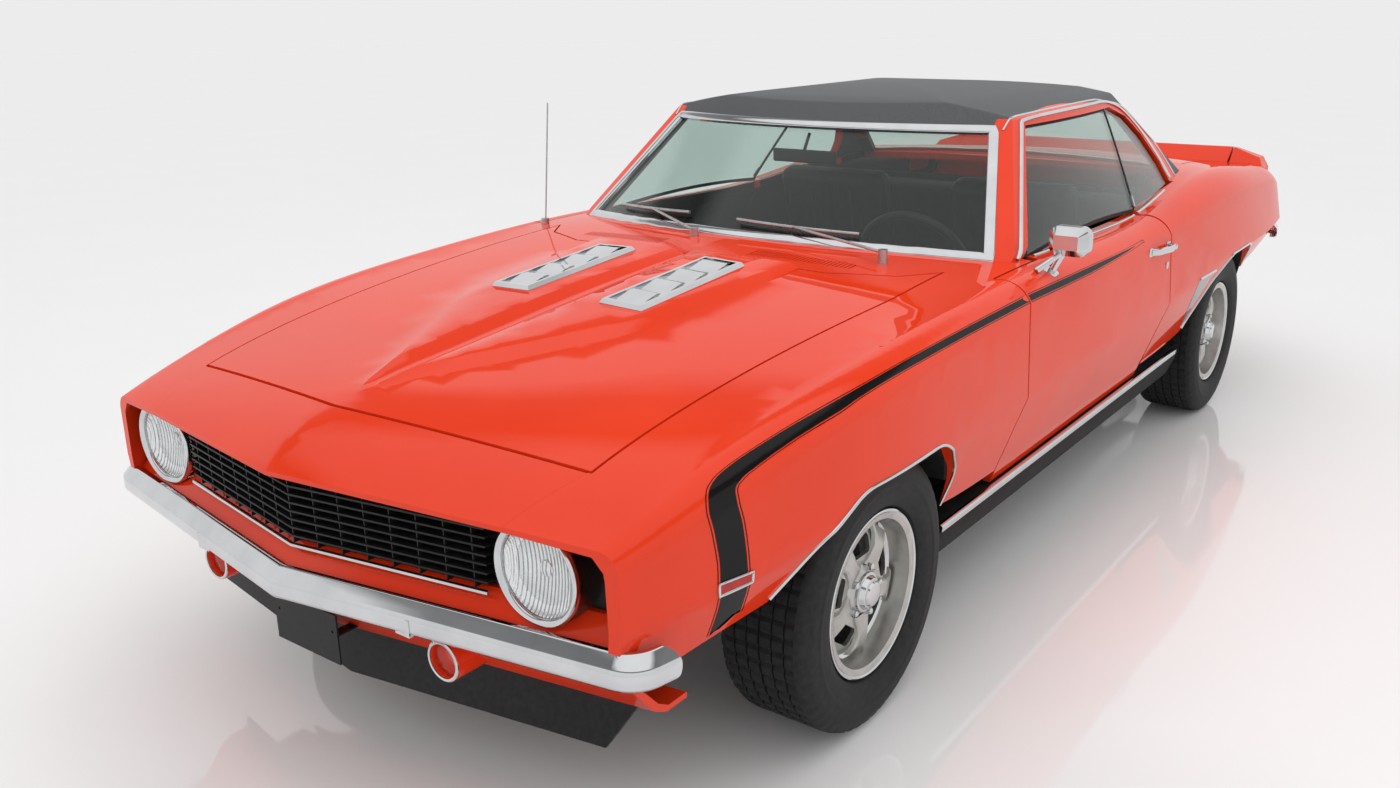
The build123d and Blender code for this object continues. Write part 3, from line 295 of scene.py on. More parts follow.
MATERIALS = {
    "paint": shaded("paint", **PAINT),
    "vinyl_roof": paint_or_vinyl(),
    "chrome": shaded("chrome", (0.60, 0.61, 0.63), (0.68, 0.69, 0.70), 0.05, metallic=1.0, scale=12.0,
                     rough_spread=0.02),
    "glass": thin_glass("glass", (0.84, 0.90, 0.88)),
    "lamp_glass": thin_glass("lamp_glass", (0.95, 0.96, 0.96)),
    "lamp_red": shaded("lamp_red", (0.35, 0.006, 0.006), (0.50, 0.014, 0.010), 0.15, coat=1.0),
    "black_plastic": shaded("black_plastic", (0.008, 0.008, 0.009), (0.016, 0.016, 0.017), 0.38,
                            scale=80.0, bump_scale=500.0, bump_strength=0.1),
    "black_vinyl": shaded("black_vinyl", roughness=0.42, bump_strength=0.3, bump_distance=0.0006, **LINING),
    "underbody": shaded("underbody", (0.008, 0.008, 0.008), (0.022, 0.021, 0.020), 0.7, scale=18.0,
                        bump_scale=120.0, bump_strength=0.2),
    "cast_iron": shaded("cast_iron", (0.035, 0.035, 0.036), (0.10, 0.095, 0.090), 0.65, metallic=0.6,
                        scale=30.0, bump_scale=300.0, bump_strength=0.3),
    "steel": shaded("steel", (0.42, 0.42, 0.43), (0.55, 0.55, 0.56), 0.28, metallic=1.0, scale=25.0),
    "wheel_metal": shaded("wheel_metal", (0.46, 0.46, 0.44), (0.58, 0.57, 0.54), 0.3, metallic=0.85,
                          scale=30.0),
    "tyre": shaded("tyre", (0.014, 0.014, 0.014), (0.026, 0.026, 0.026), 0.62, scale=60.0,
                   bump_scale=700.0, bump_strength=0.15),
}
LINED = lined_paint()
LINED_NODES = ("door_left", "door_right", "quarter_left", "quarter_right")
STRIPE = shaded("stripe", (0.003, 0.003, 0.003), (0.006, 0.006, 0.006), 0.3, scale=5.0, coat=0.45,
                coat_roughness=0.02)
RUBBER = shaded("rubber", (0.010, 0.010, 0.010), (0.020, 0.020, 0.020), 0.55, scale=90.0)
FLUTED = lamp_look()
GILL = hatched("gill", (0.05, 0.05, 0.052), (0.25, 0.25, 0.255), 28.0)


def finish_nodes():
    """Gives each CAD node the material of its slot in the record, and its curved faces smooth normals."""
    for part in frame["record"]["subparts"]:
        mesh = frame["nodes"][part["node"]].data
        mesh.materials.clear()
        mesh.materials.append(LINED if part["node"] in LINED_NODES else MATERIALS[part["material_slot"]])
        smooth(mesh)


PLACES_PER_METRE = 1e5    # corners of faces that round to one place share a point
TINY, TINIEST = 1e-12, 1e-15


def smooth(mesh, angle=32):
    """Custom normals: where faces that share a point turn less than the angle, they share a normal."""
    corners = np.zeros(len(mesh.loops), np.int64)
    mesh.loops.foreach_get("vertex_index", corners)
    places = np.zeros(len(mesh.vertices) * 3)
    mesh.vertices.foreach_get("co", places)
    places = places.reshape(-1, 3)[corners]
    starts = np.array([p.loop_start for p in mesh.polygons])
    sizes = np.array([p.loop_total for p in mesh.polygons])
    face = np.repeat(np.arange(len(sizes)), sizes)
    across = np.cross(places[starts + 1] - places[starts], places[starts + 2] - places[starts])
    face_normals = across / np.maximum(np.linalg.norm(across, axis=1, keepdims=True), TINY)
    normals = face_normals[face]
    # a corner weighs as much as the angle between its two edges
    position = np.arange(len(corners)) - starts[face]
    after = places[starts[face] + (position + 1) % sizes[face]] - places
    before = places[starts[face] + (position - 1) % sizes[face]] - places
    lengths = np.linalg.norm(after, axis=1) * np.linalg.norm(before, axis=1)
    weights = np.arccos(np.clip((after * before).sum(1) / np.maximum(lengths, TINIEST), -1, 1))
    _, group = np.unique(np.round(places * PLACES_PER_METRE).astype(np.int64), axis=0, return_inverse=True)
    group = group.ravel()
    order = np.argsort(group, kind="stable")
    result = normals.copy()
    for members in np.split(order, np.flatnonzero(np.diff(group[order])) + 1):
        if len(members) > 1:
            near = (normals[members] @ normals[members].T) > cos(radians(angle))
            result[members] = (near * weights[members][None, :]) @ normals[members]
    result /= np.maximum(np.linalg.norm(result, axis=1, keepdims=True), TINY)
    mesh.shade_smooth()
    mesh.normals_split_custom_set(result.tolist())


# ---- shapes, all in mm ----
def piece(name, shape, look="chrome", body="body", smooth_angle=40):
    """A mesh that rides on a body. The look is a slot's name, or a material of the scene's own."""
    points, faces = shape
    slot = look if isinstance(look, str) else None
    mesh = bpy.data.meshes.new(name)
    mesh.from_pydata([Vector(p) * 0.001 for p in points], [], faces)
    mesh.validate()
    mesh.materials.append(MATERIALS[slot] if slot else look)
    mesh.shade_smooth()
    mesh.set_sharp_from_angle(angle=radians(smooth_angle))
    made = bpy.data.objects.new(name, mesh)
    bpy.context.scene.collection.objects.link(made)
    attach(made, body)
    return made


def mirrored(shape):
    points, faces = shape
    return [Vector((-p[0], p[1], p[2])) for p in points], [tuple(reversed(face)) for face in faces]


def pair(name, shape, look="chrome", body="body"):
    """The same shape on the left and, mirrored, on the right. A body name with {} takes the side."""
    piece(name + "_left", shape, look, body.format("left"))
    piece(name + "_right", mirrored(shape), look, body.format("right"))


def joined(shapes):
    """Several shapes as one."""
    points, faces = [], []
    for more, their in shapes:
        start = len(points)
        points += list(more)
        faces += [tuple(start + i for i in face) for face in their]
    return points, faces


def grid_faces(rows, columns, closed_rows=False, closed_columns=False):
    faces = []
    for i in range(rows if closed_rows else rows - 1):
        for j in range(columns if closed_columns else columns - 1):
            a, b = i * columns + j, i * columns + (j + 1) % columns
            c, d = ((i + 1) % rows) * columns + (j + 1) % columns, ((i + 1) % rows) * columns + j
            faces.append((a, b, c, d))
    return faces


def even(points, count):
    """A count of points at even steps along a line of points."""
    lengths = [0.0]
    for a, b in zip(points, points[1:]):
        lengths.append(lengths[-1] + (b - a).length)
    result, j = [], 0
    for i in range(count):
        want = lengths[-1] * i / (count - 1)
        while j < len(points) - 2 and lengths[j + 1] < want:
            j += 1
        span = lengths[j + 1] - lengths[j] or 1
        result.append(points[j].lerp(points[j + 1], min(1, (want - lengths[j]) / span)))
    return result


def steps_between(start, end, count):
    """Points in y and z at even steps, both ends among them."""
    return [tuple(a + (b - a) * i / count for a, b in zip(start, end)) for i in range(count + 1)]


def tree_of(*names):
    """The surfaces of CAD nodes, to lay things on."""
    meshes = [frame["nodes"][name].data for name in names]
    shapes = [([v.co * 1000 for v in mesh.vertices], [p.vertices for p in mesh.polygons]) for mesh in meshes]
    return BVHTree.FromPolygons(*joined(shapes))


def sweep(path, profile, normals, closed=False, flip=1):
    """A profile of (across, out) points along a path; out is along the surface's normal there."""
    count, points = min(len(path), len(normals)), []
    path = path[:count]
    for i, (p, n) in enumerate(zip(path, normals)):
        ahead = path[(i + 1) % count] if closed or i < count - 1 else p
        behind = path[i - 1] if closed or i > 0 else p
        along = (ahead - behind).normalized()
        side = along.cross(n).normalized() * flip
        out = side.cross(along).normalized() * flip
        out = out if out.dot(n) > 0 else -out
        points += [p + side * a + out * b for a, b in profile]
    faces = grid_faces(count, len(profile), closed, True)
    if not closed:
        faces.append(tuple(range(len(profile))))
        faces.append(tuple((count - 1) * len(profile) + i for i in reversed(range(len(profile)))))
    return recalculated(points, faces)


def unpacked(work):
    """A bmesh's points and faces; the bmesh is freed."""
    work.verts.index_update()
    shape = [v.co.copy() for v in work.verts], [tuple(v.index for v in f.verts) for f in work.faces]
    work.free()
    return shape


def recalculated(points, faces):
    """The same faces, all turned outwards, without the ones that have shrunk to a line."""
    work = bmesh.new()
    vertices = [work.verts.new(p) for p in points]
    for face in faces:
        if len(set(face)) > 2:
            try:
                work.faces.new([vertices[i] for i in face])
            except ValueError:
                pass
    bmesh.ops.recalc_face_normals(work, faces=work.faces)
    return unpacked(work)


def half_round(width, height, sunk=1.0):
    """A profile for sweep: a flattened arch that is let into the skin a little."""
    half = width / 2
    angles = [pi * i / 6 for i in range(1, 6)]
    arch = [(-cos(a) * half, sin(a) ** 0.7 * height) for a in angles]
    return [(-half, 0), *arch, (half, 0), (half, -sunk), (-half, -sunk)]


def flat_trim(width, height, edge=2.0, sunk=1.0):
    """A profile for sweep: a flat band with sloped edges."""
    half = width / 2
    return [(-half, -sunk), (-half, height * 0.45), (-half + edge, height), (half - edge, height),
            (half, height * 0.45), (half, -sunk)]


def turned(centre, axis, outline, steps=48, whole=True):
    """A shape turned about an axis: outline holds (distance along the axis, radius), and is closed if whole."""
    axis = Vector(axis).normalized()
    side = axis.orthogonal().normalized()
    other = axis.cross(side)
    points = []
    for i in range(steps):
        angle = 2 * pi * i / steps
        ray = side * cos(angle) + other * sin(angle)
        points += [Vector(centre) + axis * a + ray * r for a, r in outline]
    return recalculated(points, grid_faces(steps, len(outline), True, whole))


def block(low, high, bevel=0):
    """A box between two corners, its edges rounded off."""
    work = bmesh.new()
    bmesh.ops.create_cube(work, size=1)
    low, high = Vector(low), Vector(high)
    for v in work.verts:
        v.co = Vector([(a + b) / 2 + c * (b - a) for a, b, c in zip(low, high, v.co)])
    if bevel:
        bmesh.ops.bevel(work, geom=work.edges[:], offset=bevel, segments=2, affect="EDGES", profile=0.5)
    return unpacked(work)


def moved(shape, change):
    points, faces = shape
    return [change @ Vector(p) for p in points], faces


def curve(points, per=8):
    """Points along a smooth line, the same number between each two given ones."""
    points = [Vector(p) for p in points]
    ends = [points[0] * 2 - points[1], *points, points[-1] * 2 - points[-2]]
    dense = []
    for a, b, c, d in zip(ends, ends[1:], ends[2:], ends[3:]):
        ta, tb, tc = ((b - a).length ** 0.5 or 1, (c - b).length ** 0.5 or 1, (d - c).length ** 0.5 or 1)
        m0 = ((b - a) / ta - (c - a) / (ta + tb) + (c - b) / tb) * tb
        m1 = ((c - b) / tb - (d - b) / (tb + tc) + (d - c) / tc) * tb
        for k in range(per):
            t = k / per
            dense.append(b * (2 * t ** 3 - 3 * t ** 2 + 1) + m0 * (t ** 3 - 2 * t ** 2 + t)
                         + c * (3 * t ** 2 - 2 * t ** 3) + m1 * (t ** 3 - t ** 2))
    return [*dense, points[-1]]


def laid_on(tree, rows, lift=0.6):
    """A grid of points put on a surface and lifted off it a little."""
    points = []
    for row in rows:
        for p in row:
            place, normal, _, _ = tree.find_nearest(p)
            points.append(place + normal * lift)
    return points, grid_faces(len(rows), len(rows[0]))


def ribbon(tree, one, other, low, high, across, lift=0.6):
    """A painted band between two shares of the way from one edge to the other."""
    rows = []
    for i, (a, b) in enumerate(zip(one, other)):
        width = (b - a).length
        f0, f1 = low(i, width), high(i, width)
        rows.append([a.lerp(b, f0 + (f1 - f0) * j / across) for j in range(across + 1)])
    return laid_on(tree, rows, lift)


def stroke(tree, path, width, lift=0.6):
    """A painted line of one width."""
    rows = []
    for i, p in enumerate(path):
        along = (path[min(i + 1, len(path) - 1)] - path[max(i - 1, 0)]).normalized()
        normal = tree.find_nearest(p)[1]
        side = along.cross(normal).normalized() * width / 2
        rows.append([p - side, p + side])
    return laid_on(tree, rows, lift)


CLEAR_OF_SIDE = 1200      # x out of the car's reach


def from_side(tree, y, z):
    """The point of the left side that is seen first at y and z, and the normal there."""
    return tree.ray_cast(Vector((CLEAR_OF_SIDE, y, z)), Vector((-1, 0, 0)))[:2]


def side_path(tree, points):
    """Points and normals on the left side, for a line given in y and z."""
    found = [from_side(tree, y, z) for y, z in points]
    found = [(p, n) for p, n in found if p is not None]
    return [p for p, _ in found], evened([n for _, n in found])


def evened(normals, reach=3):
    """Each normal averaged with its neighbours in a line."""
    near = [normals[max(0, i - reach):i + reach + 1] for i in range(len(normals))]
    return [sum(some, Vector((0, 0, 0))).normalized() for some in near]


def rounded_line(corners):
    """A line in y and z with its corners rounded, from (y, z, radius)."""
    result = [Vector((corners[0][0], corners[0][1]))]
    for before, here, after in zip(corners, corners[1:], corners[2:]):
        corner, radius = Vector(here[:2]), here[2]
        a = (Vector(before[:2]) - corner).normalized()
        b = (Vector(after[:2]) - corner).normalized()
        half = a.angle(b) / 2
        reach = radius / tan(half)
        centre = corner + (a + b).normalized() * radius / sin(half)
        start, end = corner + a * reach - centre, corner + b * reach - centre
        first, turn = atan2(start.y, start.x), start.angle(end)
        turn = turn if start.x * end.y - start.y * end.x > 0 else -turn
        for k in range(13):
            angle = first + turn * k / 12
            result.append(centre + Vector((cos(angle), sin(angle))) * radius)
    result.append(Vector((corners[-1][0], corners[-1][1])))
    return result


# ---- stripes: the edges of the left side's, x, y and z ----
STRIPE_FRONT = (
    (806, -1984, 452), (829, -1989, 509), (844, -1998, 563), (841, -1996, 613), (836, -2004, 675),
    (829, -2010, 717), (814, -1991, 747), (809, -1965, 761), (811, -1921, 774), (829, -1797, 800),
    (852, -1619, 825), (861, -1527, 834), (875, -1191, 855), (881, -725, 868),
)
STRIPE_REAR = (
    (812, -1892, 452), (838, -1902, 509), (857, -1914, 563), (855, -1916, 613), (850, -1922, 675),
    (845, -1932, 722), (840, -1928, 739), (838, -1908, 749), (843, -1862, 762), (856, -1755, 784),
    (873, -1622, 803), (877, -1545, 815), (889, -1217, 837), (895, -725, 848),
)
STRIPE_DOOR_HIGH = ((881, -717, 868), (882, -288, 863), (879, 29, 858), (874, 205, 858))
STRIPE_DOOR_LOW = ((895, -717, 848), (894, -268, 844), (887, 62, 847), (879, 205, 850))
STRIPE_LOOP = ((874, 205, 858), (875, 218, 857), (877, 223, 854), (879, 218, 851), (879, 205, 850))
BAND_TAPER = 0.86         # the share of the door stripe's length at which its band has shrunk to nothing


def line_width(width):
    """The fine line along each edge of a stripe, for the stripe's width."""
    return 1.6 + 0.010 * width


def gap_width(width):
    """The paint between such a line and the stripe's band."""
    return 1.6 + 0.035 * width


def make_stripes():
    fender, door = tree_of("fender_left"), tree_of("door_left")
    for name, tree, front, rear, body in (
            ("stripe_fender", fender, curve(STRIPE_FRONT, 9), curve(STRIPE_REAR, 9), "body"),
            ("stripe_door", door, curve(STRIPE_DOOR_HIGH, 28), curve(STRIPE_DOOR_LOW, 28), "door_body_{}")):
        last = len(front) - 1
        on_door = tree is door

        def band(i, width):
            """The share of the stripe's width at which its band starts."""
            share = (line_width(width) + gap_width(width)) / width
            return share + (0.5 - share) * (i / last / BAND_TAPER) ** 3 if on_door else share

        kept = int(last * BAND_TAPER) + 1 if on_door else last + 1
        shapes = [
            ribbon(tree, front[:kept], rear[:kept], band, lambda i, w: 1 - band(i, w), 6),
            ribbon(tree, front, rear, lambda i, w: 0, lambda i, w: line_width(w) / w, 1),
            ribbon(tree, front, rear, lambda i, w: 1 - line_width(w) / w, lambda i, w: 1, 1),
        ]
        if on_door:
            shapes.append(stroke(tree, curve(STRIPE_LOOP, 5), 1.8))
        pair(name, joined(shapes), STRIPE, body=body)


# the edges of the mark ahead of the rear wheel, y and z in mm
GILL_OUTER = ((806, 627), (815, 600), (838, 540), (862, 480), (884, 432))
GILL_INNER = ((1013, 622), (985, 590), (944, 540), (912, 485), (896, 432))


def make_gills():
    tree = tree_of("quarter_left")
    outer, inner = [curve([(900, y, z) for y, z in side], 8) for side in (GILL_OUTER, GILL_INNER)]
    rows = []
    for a, b in zip(outer, inner):
        row = [a.lerp(b, j / 8) for j in range(9)]
        rows.append([from_side(tree, p.y, p.z)[0] or p for p in row])
    pair("gill", laid_on(tree, rows), GILL)
    path, normals = side_path(tree, steps_between((GILL_OUTER[0][0], 629), (GILL_INNER[0][0], 624), 16))
    pair("gill_cap", sweep(path, half_round(9, 5), normals))


# ---- trim ----
def windshield_point(x, z):
    """The windshield's outer face at one x and z, bent in an arc from corner to corner."""
    (z0, *low), (z1, *high) = WINDSHIELD_LEVELS
    t = (z - z0) / (z1 - z0)
    middle, corner_x, corner_y = [a + (b - a) * t for a, b in zip(low, high)]
    sag = corner_y - middle
    radius = (corner_x ** 2 + sag ** 2) / (2 * sag)
    return Vector((x, middle + radius - sqrt(radius ** 2 - x ** 2), z))


def windshield_normal(x, z):
    across = windshield_point(x + 1, z) - windshield_point(x - 1, z)
    up = windshield_point(x, z + 1) - windshield_point(x, z - 1)
    normal = across.cross(up).normalized()
    return normal if normal.y < 0 else -normal


COWL_Z = (900.0, 960.0)   # the heights between which the cowl meets the windshield
TRIM_GAP = 6              # from the trim's middle line to the cowl
ABOVE_CAR = 1400


def windshield_path():
    """The closed line of the bright trim round the windshield, which follows the cowl at the bottom."""
    cowl = tree_of("cowl_panel", "fender_left", "fender_right", "hood")
    (low_x, low_z), (high_x, high_z) = WINDSHIELD_SIDE
    points = []
    for i in range(49):
        x = -low_x + 2 * low_x * i / 48
        z = COWL_Z[0]
        while z < COWL_Z[1]:
            ahead = windshield_point(x, z).y - TRIM_GAP
            hit = cowl.ray_cast(Vector((x, ahead, ABOVE_CAR)), Vector((0, 0, -1)))[0]
            if hit is None or z > hit.z + TRIM_GAP:
                break
            z += 2
        points.append((x, z))
    start_z = points[-1][1]
    heights = [start_z + (high_z - start_z) * i / 30 for i in range(1, 30)]
    side = [(low_x + (high_x - low_x) * (z - low_z) / (high_z - low_z), z) for z in heights]
    top = [(high_x - 2 * high_x * i / 40, high_z) for i in range(41)]
    points += side + top + [(-x, z) for x, z in reversed(side)]
    return [windshield_point(*p) for p in points], [windshield_normal(*p) for p in points]


# the line in y and z that the vinyl's bright edge follows, and the drip rail's line under it
VINYL_EDGE = ((596, -262, 1234), (592, -184, 1246), (584, 215, 1254), (580, 598, 1241), (588, 850, 1208),
              (632, 1002, 1116), (692, 1071, 1030), (742, 1098, 960))
DRIP_LINE = ((-502, 905), (-168, 1238), (-120, 1241), (300, 1244), (640, 1236), (806, 1193), (908, 1121),
             (978, 1014), (996, 950))


def make_roof_trim():
    roof = tree_of("roof_shell")
    found = [roof.find_nearest(p) for p in even(curve(VINYL_EDGE, 12), 150)]
    path, normals = [f[0] for f in found], evened([f[1] for f in found], 4)
    pair("vinyl_edge_trim", sweep(path, half_round(7, 4), normals))
    drip = even([Vector((0, y, z)) for y, z in DRIP_LINE[:2]], 40)[:-1] + even(
        curve([(0, y, z) for y, z in DRIP_LINE[1:]], 12), 140)
    line, out = side_path(roof, [(p.y, p.z) for p in drip])
    pair("drip_rail", sweep(line, flat_trim(13, 7), out))


def make_windshield_trim():
    path, normals = windshield_path()
    profile = [(-15, -9), (-15, 0.5), (-12, 3), (11, 4), (14, 2), (14, -2)]
    piece("windshield_trim", sweep(path, profile, normals, closed=True))


def length_of(points):
    return sum((a - b).length for a, b in zip(points, points[1:]))


def opening_line(name, facing, cosine=0.45, step=12):
    """The outline of the faces of a node that look one way: points and normals."""
    work = bmesh.new()
    work.from_mesh(frame["nodes"][name].data)
    bmesh.ops.remove_doubles(work, verts=work.verts, dist=1e-5)
    facing = Vector(facing).normalized()
    chosen = [f for f in work.faces if f.normal.dot(facing) > cosine]
    is_chosen = set(chosen)
    ahead = {}
    for face in chosen:
        for loop in face.loops:
            if sum(f in is_chosen for f in loop.edge.link_faces) == 1:
                ahead[loop.vert] = loop.link_loop_next.vert
    loops = []
    while ahead:
        vertex, line = next(iter(ahead)), []
        while vertex in ahead:
            line.append(vertex)
            vertex = ahead.pop(vertex)
        loops.append(line)
    points = max([[v.co * 1000 for v in line] for line in loops], key=length_of)
    work.free()
    points = even([*points, points[0]], max(24, int(length_of(points) / step)) + 1)[:-1]
    tree = tree_of(name)
    normals = []
    for p in points:
        normal = tree.find_nearest(p + facing * 30)[1]
        normals.append(normal if normal.dot(facing) > 0.2 else facing)
    return points, evened(normals, 2)


GLASS_SPLIT = ((612, 1222), (464, 900))     # y and z of the line between door glass and quarter glass
GLASS_STRIP_LIFT = 1.5


def make_glass_trim():
    points, normals = opening_line("rear_window", (0, 0.75, 0.65))
    profile = [(-12, -6), (-12, 1), (-9, 9), (9, 12), (13, 10), (13, 5)]
    piece("rear_window_trim", sweep(points, profile, normals, closed=True, flip=-1))
    points, normals = opening_line("door_glass_left", (1, 0, 0.25))
    profile = [(-7, -3), (-7, 1), (4, 2), (5, -3)]
    pair("door_glass_seal", sweep(points, profile, normals, closed=True, flip=-1), RUBBER, "door_body_{}")
    # the bright strip at the front edge of the quarter glass
    door = tree_of("door_glass_left")
    path, normals = side_path(door, steps_between(*GLASS_SPLIT, 20))
    path = [p + n * GLASS_STRIP_LIFT for p, n in zip(path, normals)]
    pair("quarter_glass_strip", sweep(path, half_round(13, 5), normals), body="door_body_{}")


BELT_LOOK_UP = 25         # above the sill of the side glass, where the pane is sure to be met
BELT_OUT = 11             # from the pane out to the moulding


def make_belt():
    """The bright moulding under the side glass."""
    upward = Vector((0.3, 0, 1)).normalized()
    glass = tree_of("door_glass_left", "quarter_glass")
    for name, node, start, end, body in (("belt_door", "door_left", -480, 470, "door_body_{}"),
                                         ("belt_quarter", "quarter_left", 486, 940, "body")):
        tree = tree_of(node)
        path = []
        for i in range(40):
            y = start + (end - start) * i / 39
            pane = from_side(glass, y, SIDE_WINDOW_Z + BELT_LOOK_UP)[0]
            if pane is None:
                continue
            hit = tree.ray_cast(Vector((pane.x + BELT_OUT, y, ABOVE_CAR)), Vector((0, 0, -1)))[0]
            if hit is not None:
                path.append(hit)
        if len(path) > 3:
            pair(name, sweep(path, half_round(11, 4), [upward] * len(path)), body=body)


SILL_FRONT, SILL_REAR = (-1052, 334), (892, 336)      # y and z of the rocker moulding's ends
ARCH_LOWEST = 352         # where the wheel opening's lip ends
ARCH_SKIN_X = 780         # a ray that gets past this has missed the skin
LIP_OUT = 4               # from the opening's edge to the lip's middle line


def make_side_trim():
    floor = tree_of("floor_pan")
    sill = [from_side(floor, y, SILL_FRONT[1])[0] for y in (-600, 0, 600)]
    x = max([p.x for p in sill if p is not None] + [800]) + 2
    path = even([Vector((x, *SILL_FRONT)), Vector((x, *SILL_REAR))], 30)
    out = Vector((1, 0, -0.1)).normalized()
    pair("rocker_moulding", sweep(path, flat_trim(22, 12, 4), [out] * 30))
    for end, node, corners in (("front", "fender_left", FRONT_ARCH), ("rear", "quarter_left", REAR_ARCH)):
        line = []
        for p in even([Vector((0, *p)) for p in rounded_line(corners)], 110):
            ray = Vector((0, p.y, p.z - WHEEL_Z)).normalized() * LIP_OUT
            line.append((p.y + AXLE_Y[end] + ray.y, p.z + ray.z))
        path, normals = side_path(tree_of(node), [(y, z) for y, z in line if z > ARCH_LOWEST])
        kept = [(p, n) for p, n in zip(path, normals) if p.x > ARCH_SKIN_X]
        pair(f"arch_lip_{end}", sweep([p for p, _ in kept], half_round(8, 5), [n for _, n in kept]))


MARKER = ((-1997, 553), (-1914, 553), (-1911, 573), (-1995, 576))     # the frame's corners, y and z
MARKER_LOW, MARKER_HIGH = ((-1997, 555), (-1913, 555)), ((-1995, 574), (-1911, 574))


def make_marker():
    """The side marker lamp in its bright frame."""
    tree = tree_of("fender_left")
    low, high = [[from_side(tree, y, z)[0] for y, z in steps_between(*edge, 8)]
                 for edge in (MARKER_LOW, MARKER_HIGH)]
    lens = laid_on(tree, [[a.lerp(b, j / 4) for j in range(5)] for a, b in zip(low, high)], 2.5)
    pair("side_marker", lens, "lamp_red")
    line = []
    for start, end in zip(MARKER, MARKER[1:] + MARKER[:1]):
        line += steps_between(start, end, 6)[:-1]
    path, normals = side_path(tree, line)
    pair("side_marker_frame", sweep(path, half_round(6, 6), normals, closed=True))


def rod(a, b, thick, thin):
    """A round bar whose radius goes from thick to thin."""
    a, b = Vector(a), Vector(b)
    length = (b - a).length
    outline = [(0, 0.01), (0, thick * 0.8), (thick * 0.2, thick), (length - thin * 0.2, thin),
               (length, thin * 0.8), (length, 0.01)]
    return turned(a, b - a, outline, 20, False)


HANDLE_ENDS = ((262, 812), (440, 806))      # y and z on the door's skin
LOCK = (434, 743)
LOCK_OUTLINE = [(-2, 0.01), (-2, 12), (2, 12), (4, 9), (4, 7), (2.5, 6), (2.5, 0.01)]
MIRROR_ARM = ((846, -580, 898), (893, -512, 944))


def make_door_furniture():
    tree = tree_of("door_left")
    front, rear = [from_side(tree, y, z)[0] for y, z in HANDLE_ENDS]
    grip = curve([end + Vector((out, along, 0)) for end, out, along in (
        (front, 2, 0), (front, 20, 26), (front, 27, 60), (rear, 27, -56), (rear, 24, -20), (rear, 2, 0))], 6)
    profile = [(11 * cos(a), 5 * sin(a)) for a in [2 * pi * i / 14 for i in range(14)]]
    handle = sweep(grip, profile, [Vector((1, 0, 0.02))] * len(grip))
    outline = [(0, 0.01), (0, 10), (14, 10), (17, 7), (17, 0.01)]
    button = turned(rear + Vector((14, -8, 0)), (1, 0, 0), outline, 24, False)
    plates = [block(p + Vector((-3, -15, -14)), p + Vector((4, 15, 14)), 3) for p in (front, rear)]
    pair("door_handle", joined([handle, button, *plates]), body="door_body_{}")
    lock = from_side(tree, *LOCK)[0]
    pair("door_lock", turned(lock, (1, 0, 0), LOCK_OUTLINE, 28, False), body="door_body_{}")
    piece("mirror_arm", rod(*MIRROR_ARM, 9, 6), body="door_body_left")


# ---- lamps and grille: outlines hold distance ahead and radius ----
HEADLAMP_RING = [(-4, 101), (5, 101), (9, 98), (9, 94), (5, 88), (2, 86.5), (-4, 86.5)]
HEADLAMP_BOWL = [(-3, 86), (-10, 80), (-18, 62), (-24, 36), (-27, 16), (-24, 15), (-22, 8), (-20, 0.01)]
TURN_LAMP_RING = [(-2, 42.5), (3, 42.5), (5, 40), (4, 36), (-2, 35.5)]
GRILLE_TRIM_HALF, GRILLE_TRIM_Y, GRILLE_TRIM_Z = 482, -2297, 545


def make_lamps():
    ahead = (0, -1, 0)
    pair("headlamp_ring", turned(HEADLAMP, ahead, HEADLAMP_RING, 64))
    pair("headlamp_bowl", turned(HEADLAMP, ahead, HEADLAMP_BOWL, 64, False), FLUTED)
    pair("turn_lamp_ring", turned(TURN_LAMP, ahead, TURN_LAMP_RING, 48))
    path = []
    for i in range(61):
        x = GRILLE_TRIM_HALF * (i / 30 - 1)
        path.append(Vector((x, GRILLE_TRIM_Y + NOSE_SWEEP * abs(x), GRILLE_TRIM_Z)))
    out = Vector((0, -1, 0.15)).normalized()
    piece("grille_lower_trim", sweep(path, flat_trim(9, 5), [out] * 61))


# ---- wheels, made about the X axis at the origin with the street side at +X: outlines hold x and radius ----
TYRE_SIDE = [(88, 196), (101, 203), (108, 215), (111.5, 228), (114, 246), (114.2, 252), (115, 254),
             (115, 262), (114.2, 264), (114, 280), (111, 291), (107, 300), (102, 309), (98, 313.5),
             (90, 316.2), (84, 317.4)]
TREAD_RIBS = (76, 46, 16)
TREAD_STEPS = 220
SHOULDER = (296, 314)     # the radii between which the side's edge is notched
TRIM_RING = [(98, 195), (99.5, 192), (98, 187), (90, 181), (72, 176), (52, 170), (42, 163), (38, 154),
             (35, 154), (38, 164), (50, 172.5), (90, 184.5), (95, 192)]
# across a spoke at each radius: radius, half its width, x of its face
SPOKE_ROWS = ((56, 30, 66), (80, 23, 70), (104, 20, 71), (128, 26, 66), (150, 38, 54))
CAP = [(74, 47), (79, 46), (80, 40), (86, 37), (90, 35), (92, 30), (97, 27), (98.5, 22), (98.5, 0.01)]
NUT = [(-8, 9), (6, 9), (10, 8), (13, 4), (13, 0.01)]
NUT_X, NUT_RADIUS = 70, 58


